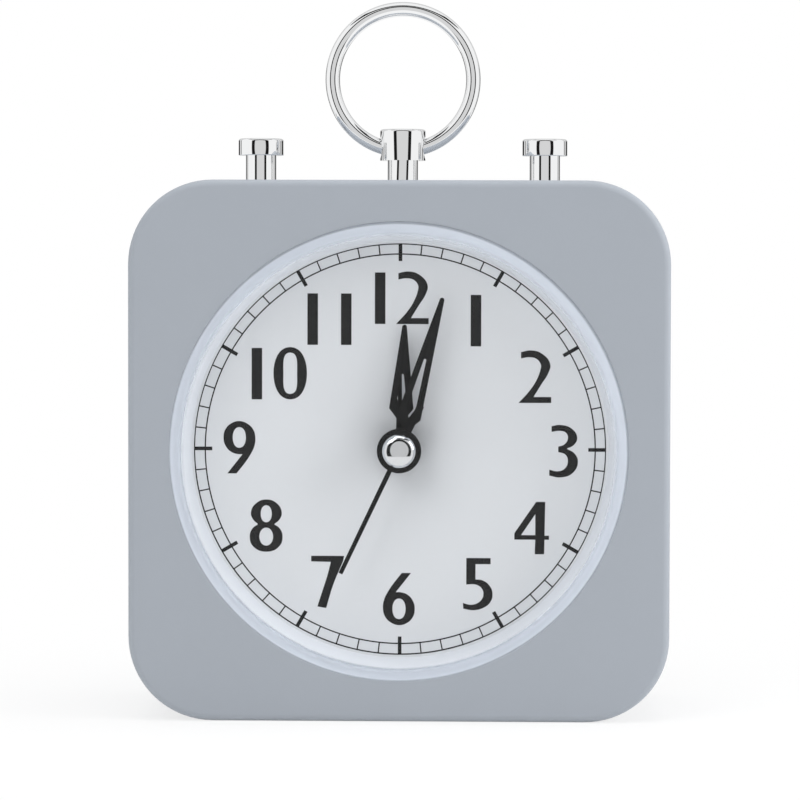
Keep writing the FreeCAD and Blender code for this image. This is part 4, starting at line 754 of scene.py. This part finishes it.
class CLOCK_OT_hands(bpy.types.Operator):
    """Bevel the four hands and turn the chrome cap on their hub"""
    bl_idname = "clock.hands"
    bl_label = "Hands"

    def execute(self, context):
        s = sizes()
        black = moulded("hand_lacquer", colours().hands, roughness=0.38, grain=6000.0, strength=0.05,
                        tone=0.1, **{"Specular IOR Level": 0.15})
        for name, node, body in (
                ("hour_lance", "hour_hand", "hour"), ("minute_lance", "minute_hand", "minute"),
                ("alarm_pointer", "alarm_hand", "alarm"), ("second_sweep", "second_hand", "second")):
            bevelled_copy(name, node, body, black, s.hand_edge)
        low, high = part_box("hub_cap")
        radius = (high.x - low.x) / 2
        dome = cap_profile(radius, s.cap_crown_ball, s.cap_crown_radius, s.cap_shoulder, -low.y)
        bm = turn_profile(dome + [(radius, -high.y), (0, -high.y)])
        dark_chrome = chrome_material("hub_chrome", colours().hub_cap)
        make_piece("hub_dome", face_front(bm), "second", dark_chrome, ("hub_cap",), sharp_deg=60)
        return {"FINISHED"}


class CLOCK_OT_top(bpy.types.Operator):
    """Turn the ring, its post and the two push buttons, and set their springs"""
    bl_idname = "clock.top"
    bl_label = "Ring, post and buttons"

    def execute(self, context):
        chrome = chrome_material("bright_chrome", colours().chrome)
        make_ring(chrome)
        make_button("left_push", "light_button", chrome)
        make_button("right_push", "snooze_button", chrome)
        keep_node("ring_post", chrome, sharp_deg=40)
        make_spring("light_coil", "light_spring")
        make_spring("snooze_coil", "snooze_spring")
        return {"FINISHED"}


def make_ring(chrome):
    """The carry ring: a round section spun about the ring's own middle."""
    low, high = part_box("carry_ring")
    wire = (high.y - low.y) / 2
    bm = bmesh.new()
    section = bmesh.ops.create_circle(bm, segments=40, radius=wire)["verts"]
    bmesh.ops.translate(bm, verts=section, vec=((high.x - low.x) / 2 - wire, 0, 0))
    bmesh.ops.spin(bm, geom=section + bm.edges[:], cent=(0, 0, 0), axis=(0, 1, 0), angle=FULL_TURN,
                   steps=160, use_merge=True)
    bmesh.ops.remove_doubles(bm, verts=bm.verts[:], dist=TOUCHING)
    bmesh.ops.recalc_face_normals(bm, faces=bm.faces[:])
    bmesh.ops.translate(bm, verts=bm.verts[:], vec=(0, 0, (low.z + high.z) / 2))
    make_piece("wire_ring", bm, "carry_ring", chrome, ("carry_ring",), sharp_deg=80)


def make_button(name, node, chrome):
    """A mushroom button: a head on a stem that narrows to a rod inside the case."""
    s = sizes()
    low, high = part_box(node)
    head = (high.x - low.x) / 2
    head_foot = high.z - s.button_head
    profile = [(0, high.z), (head, high.z), (head, head_foot), (s.button_stem, head_foot),
               (s.button_stem, s.rod_top), (s.button_rod, s.rod_top), (s.button_rod, low.z), (0, low.z)]
    bm = turn_profile(profile, ((1, s.head_edge, 5), (2, s.head_foot_edge, 3)), steps=96)
    bmesh.ops.translate(bm, verts=bm.verts[:], vec=((low.x + high.x) / 2, 0, 0))
    make_piece(name, bm, node, chrome, (node,), sharp_deg=50)


def make_spring(name, node):
    """A button's return spring, a merged copy of its construction piece with a mesh of its own."""
    piece = make_piece(name, merged_copy(node), "case", steel_material(), (node,),
                       sharp_deg=60)
    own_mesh(piece)


class CLOCK_OT_back(bpy.types.Operator):
    """Finish the knobs, the switch, the battery and its contacts"""
    bl_idname = "clock.back"
    bl_label = "Back"

    def execute(self, context):
        black = black_plastic_material()
        for node in ("time_knob", "alarm_knob", "alarm_slider"):
            keep_node(node, black, sizes().moulding_edge)
        for node in ("time_shaft", "alarm_shaft", "switch_body"):
            keep_node(node, black)
        make_battery()
        for node in ("plus_contact", "minus_contact", "battery_spring"):
            keep_node(node, steel_material())
        keep_node("buzzer", brass_material())
        return {"FINISHED"}


def make_battery():
    """A bare steel can with a nub, in a printed shrink sleeve that leaves both ends open."""
    s = sizes()
    low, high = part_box("battery")
    radius = (high.z - low.z) / 2
    can = radius - s.sleeve_thick
    start, shoulder, end = low.x, high.x - s.nub_height, high.x
    profile = [(0, start), (can, start), (can, shoulder), (s.nub_radius, shoulder), (s.nub_radius, end),
               (0, end)]
    steel_can = turn_profile(profile, ((1, s.can_edge, 4), (2, s.can_edge, 4), (4, s.nub_edge, 3)), steps=96)
    start, end = start + s.sleeve_lap, shoulder - s.sleeve_lap
    profile = [(can, start), (radius, start), (radius, end), (can, end)]
    fold = s.sleeve_thick / 2
    wrap = turn_profile(profile, ((1, fold, 2), (2, fold, 2)), steps=96, closed=True)
    sleeve = moulded("printed_sleeve", colours().sleeve, roughness=0.25, grain=2500.0, strength=0.05,
                     tone=0.05)
    for name, bm, material in (("battery_can", steel_can, steel_material()), ("battery_wrap", wrap, sleeve)):
        bmesh.ops.rotate(bm, verts=bm.verts[:], cent=(0, 0, 0), matrix=Matrix.Rotation(math.pi / 2, 3, "Y"))
        bmesh.ops.translate(bm, verts=bm.verts[:], vec=(0, (low.y + high.y) / 2, (low.z + high.z) / 2))
        make_piece(name, bm, "case", material, ("battery",))


class CLOCK_OT_movement(bpy.types.Operator):
    """Finish the movement, its gears, the step motor and the boards"""
    bl_idname = "clock.movement"
    bl_label = "Movement"

    def execute(self, context):
        c = colours()
        black = black_plastic_material()
        steel = steel_material()
        brass = brass_material()
        plate = moulded("frame_white", c.plates, roughness=0.5)
        nylon = moulded("gear_nylon", c.gears, roughness=0.38, tone=0.05,
                        **{"Subsurface Weight": 0.1, "Subsurface Scale": 0.5 * MM})
        board = moulded("solder_mask", c.board, roughness=0.35, grain=7000.0, tone=0.25)
        copper = metal("enamelled_wire", c.copper, roughness=0.25, tone=0.2, strength=0.4)
        magnet = metal("sintered_magnet", c.magnet, roughness=0.5)
        clear = moulded("lamp_epoxy", c.lamp, roughness=0.08, strength=0.0, tone=0.01,
                        **{"Transmission Weight": 0.6})
        finishes = (
            (black, ("movement_base", "movement_cover", "light_switch", "snooze_switch")),
            (plate, ("mounting_plate", "train_plate")),
            (nylon, ("alarm_wheel", "hour_wheel", "motion_wheel", "third_wheel", "second_wheel",
                     "intermediate_wheel")),
            (brass, ("cannon_pinion", "centre_wheel")),
            (steel, ("plate_screws", "module_screws", "stator", "coil_core", "quartz_crystal", "post_washer",
                     "post_nut", "light_clip", "snooze_clip", "board_screws", "lamp_leads")),
            (board, ("circuit_board", "top_board")),
            (copper, ("coil",)),
            (magnet, ("rotor",)),
            (clear, ("dial_lamp",)),
        )
        for material, nodes in finishes:
            for node in nodes:
                keep_node(node, material)
        return {"FINISHED"}


class StageSettings(bpy.types.PropertyGroup):
    """The camera, the floor, the lamps and the light from all sides."""
    camera_place: bpy.props.FloatVectorProperty(
        name="Camera", description="Where the camera stands", default=(0.0207, -0.5433, 0.0888), size=3,
        subtype="TRANSLATION")
    camera_yaw: angle("Yaw", "Turn of the camera to the left", 0.951)
    camera_pitch: angle("Pitch", "Tilt of the camera down", 1.899)
    camera_roll: angle("Roll", "Roll of the camera", 0.162)
    lens: number("Lens", "Focal length in millimetres", 128.81, unit="CAMERA")
    shift: number("Shift", "Shift of the frame both ways", -0.08)
    ambient: number("Ambient", "Level of the light from all sides", 0.5)
    sky: colour("Sky", "Tint of the light from all sides", 0.97, 0.985, 1.0)
    key: number("Key light", "Power of the upper left lamp in watts", 1.9, unit="POWER")
    right: number("Right light", "Power of the lamp at the right in watts", 2.6, unit="POWER")
    top: number("Top light", "Power of the lamp overhead in watts", 1.8, unit="POWER")
    floor: colour("Floor", "Pale grey of the floor", 0.93, 0.93, 0.93)
    floor_radius: length("Floor size", "Radius of the floor", 1000)
    fade_start: length("Fade start", "Distance from the middle at which the floor begins to fade", 45)
    fade_end: length("Fade end", "Distance from the middle at which the floor is white", 140)
    floor_glow: share("Floor glow", "How far the floor is faded to white at the clock", 0.75)


# Each lamp's name, the setting of its power, its place and the side of its square, in metres.
LAMPS = (
    ("key_lamp", "key", (-0.42, -0.5, 0.62), 0.5),
    ("right_lamp", "right", (0.6, -0.1, 0.3), 0.4),
    ("top_lamp", "top", (0.0, -0.05, 0.7), 0.5),
)
# The studio that mirror-like surfaces see, as (angle in degrees from the way to the camera, brightness). A
# grey patch stands before the clock and one behind it, each with a black ring round it. The walls between are
# white, with a narrow grey strip a little behind the clock's sides.
STUDIO_RINGS = (
    (0, 0.72), (27.5, 0.72), (29, 0.01), (43, 0.01), (45, 0.97), (112, 0.97), (114, 0.3), (122, 0.3),
    (124, 0.97), (130, 0.97), (132, 0.02), (152, 0.02), (153.5, 0.72), (180, 0.72),
)
# In the next three a height is that of the way looked along: 0 is level, 1 straight up and -1 straight down.
# The black strip over the front half, as (height, the share of the brightness that is left there).
OVERHEAD_STRIP = ((0, 1), (0.71, 1), (0.73, 0.02), (0.86, 0.02), (0.88, 1), (1, 1))
# The grey ceiling over the rear half: its brightness, and the heights between which it begins.
CEILING, CEILING_RISE = 0.6, (0.1, 0.25)
# The heights between which the walls end and the white ground begins.
GROUND_FALL = (-0.28, -0.34)


class CLOCK_OT_stage(bpy.types.Operator):
    """Lay the floor, hang the lamps and set up the camera"""
    bl_idname = "clock.stage"
    bl_label = "Stage"

    def execute(self, context):
        stage = context.scene.clock_stage
        make_floor(stage)
        make_world(stage)
        for name, setting, place, side in LAMPS:
            make_lamp(name, getattr(stage, setting), place, side)
        make_camera(stage)
        context.scene.view_settings.view_transform = "Standard"
        return {"FINISHED"}


def make_floor(stage):
    """A large pale floor that fades into the white background and keeps the clock's shadow."""
    bm = bmesh.new()
    bmesh.ops.create_circle(bm, cap_ends=True, segments=96, radius=stage.floor_radius)
    floor = add_object("floor", make_mesh("floor", bm))
    material, tree, shader = new_material("pale_floor", {
        "Base Color": (*stage.floor, 1), "Roughness": 0.8, "Specular IOR Level": 0.2})
    away = distance_from_origin(tree, object_place(tree))
    fade = map_range(tree, away, stage.fade_start, stage.fade_end, start=stage.floor_glow)
    path = add_node(tree, "ShaderNodeLightPath").outputs
    shown = math_node(tree, "MAXIMUM", path["Is Glossy Ray"], path["Is Transmission Ray"])
    shown = math_node(tree, "MAXIMUM", shown, path["Is Camera Ray"])
    glow = add_node(tree, "ShaderNodeEmission")
    set_surface(tree, mix_shaders(tree, math_node(tree, "MULTIPLY", fade, shown), shader, glow))
    floor.data.materials.append(material)
    floor.visible_glossy = False
    floor.visible_transmission = False


def make_world(stage):
    """White to the camera and through glass, a banded studio to mirrors, and plain soft light elsewhere."""
    world = bpy.data.worlds.new("studio")
    bpy.context.scene.world = world
    world.use_nodes = True
    tree = world.node_tree
    tree.nodes.clear()
    way = add_node(tree, "ShaderNodeTexCoord").outputs["Generated"]
    split = add_node(tree, "ShaderNodeSeparateXYZ", {0: way}).outputs
    height = split["Z"]
    front = math_node(tree, "MULTIPLY", split["Y"], -1.0)
    half_turns = math_node(tree, "DIVIDE", math_node(tree, "ARCCOSINE", front), math.pi)
    walls = ramp_value(tree, half_turns, [(degrees / 180, level) for degrees, level in STUDIO_RINGS])
    behind = math_node(tree, "GREATER_THAN", split["Y"], 0.0)
    strip = math_node(tree, "MAXIMUM", ramp_value(tree, height, OVERHEAD_STRIP), behind)
    ceiling = math_node(tree, "MULTIPLY", map_range(tree, height, *CEILING_RISE, end=CEILING), behind)
    walls = math_node(tree, "MAXIMUM", math_node(tree, "MULTIPLY", walls, strip), ceiling)
    bright = math_node(tree, "MAXIMUM", walls, map_range(tree, height, *GROUND_FALL))
    path = add_node(tree, "ShaderNodeLightPath").outputs
    seen = math_node(tree, "MAXIMUM", path["Is Camera Ray"], path["Is Transmission Ray"])
    in_mirror = math_node(tree, "GREATER_THAN", path["Glossy Depth"], 0.5)
    lit = math_node(tree, "SUBTRACT", 1.0, path["Is Diffuse Ray"])
    soft = add_node(tree, "ShaderNodeBackground", {"Color": (*stage.sky, 1), "Strength": stage.ambient})
    white = add_node(tree, "ShaderNodeBackground", {"Color": (1, 1, 1, 1)})
    studio = add_node(tree, "ShaderNodeBackground", {"Color": bright})
    plain = mix_shaders(tree, seen, soft, white)
    whole = mix_shaders(tree, math_node(tree, "MULTIPLY", in_mirror, lit), plain, studio)
    add_node(tree, "ShaderNodeOutputWorld", {"Surface": whole.outputs[0]})


def make_lamp(name, power, place, side):
    """A square soft lamp aimed at the clock."""
    light = bpy.data.lights.new(name, "AREA")
    light.energy = power
    light.size = side
    lamp = add_object(name, light)
    lamp.location = place
    aim = Vector((0, 0, MID_Z)) - Vector(place)
    lamp.rotation_euler = aim.to_track_quat("-Z", "Y").to_euler()
    lamp.visible_glossy = False


def make_camera(stage):
    """The camera, where the photograph's stood, with its long lens."""
    camera = bpy.data.cameras.new("photo_camera")
    camera.lens = stage.lens
    camera.sensor_width = 36.0
    camera.shift_x = camera.shift_y = stage.shift
    camera.clip_start = 0.01
    holder = add_object("photo_camera", camera)
    yaw = Matrix.Rotation(stage.camera_yaw, 4, "Z")
    pitch = Matrix.Rotation(math.pi / 2 - stage.camera_pitch, 4, "X")
    roll = Matrix.Rotation(stage.camera_roll, 4, "Z")
    holder.matrix_world = Matrix.Translation(stage.camera_place) @ yaw @ pitch @ roll
    bpy.context.scene.camera = holder


class CLOCK_PT_panel(bpy.types.Panel):
    """Buttons for each group of pieces"""
    bl_idname = "CLOCK_PT_panel"
    bl_label = "Clock"
    bl_space_type = "VIEW_3D"
    bl_region_type = "UI"
    bl_category = "Clock"

    def draw(self, context):
        for operator in OPERATORS:
            self.layout.operator(operator.bl_idname)


OPERATORS = (
    CLOCK_OT_case, CLOCK_OT_lens, CLOCK_OT_dial, CLOCK_OT_print, CLOCK_OT_hands, CLOCK_OT_top, CLOCK_OT_back,
    CLOCK_OT_movement, CLOCK_OT_stage,
)
CLASSES = (ClockSizes, ClockColours, StageSettings) + OPERATORS + (CLOCK_PT_panel,)


def register():
    for cls in CLASSES:
        bpy.utils.register_class(cls)
    bpy.types.Scene.clock_sizes = bpy.props.PointerProperty(type=ClockSizes)
    bpy.types.Scene.clock_colours = bpy.props.PointerProperty(type=ClockColours)
    bpy.types.Scene.clock_stage = bpy.props.PointerProperty(type=StageSettings)


def unregister():
    del bpy.types.Scene.clock_stage
    del bpy.types.Scene.clock_colours
    del bpy.types.Scene.clock_sizes
    for cls in reversed(CLASSES):
        bpy.utils.unregister_class(cls)


def main():
    """Makes every piece and the stage."""
    register()
    bpy.ops.clock.case()
    bpy.ops.clock.lens()
    bpy.ops.clock.dial()
    bpy.ops.clock.print()
    bpy.ops.clock.hands()
    bpy.ops.clock.top()
    bpy.ops.clock.back()
    bpy.ops.clock.movement()
    bpy.ops.clock.stage()


if __name__ == "__main__":
    main()
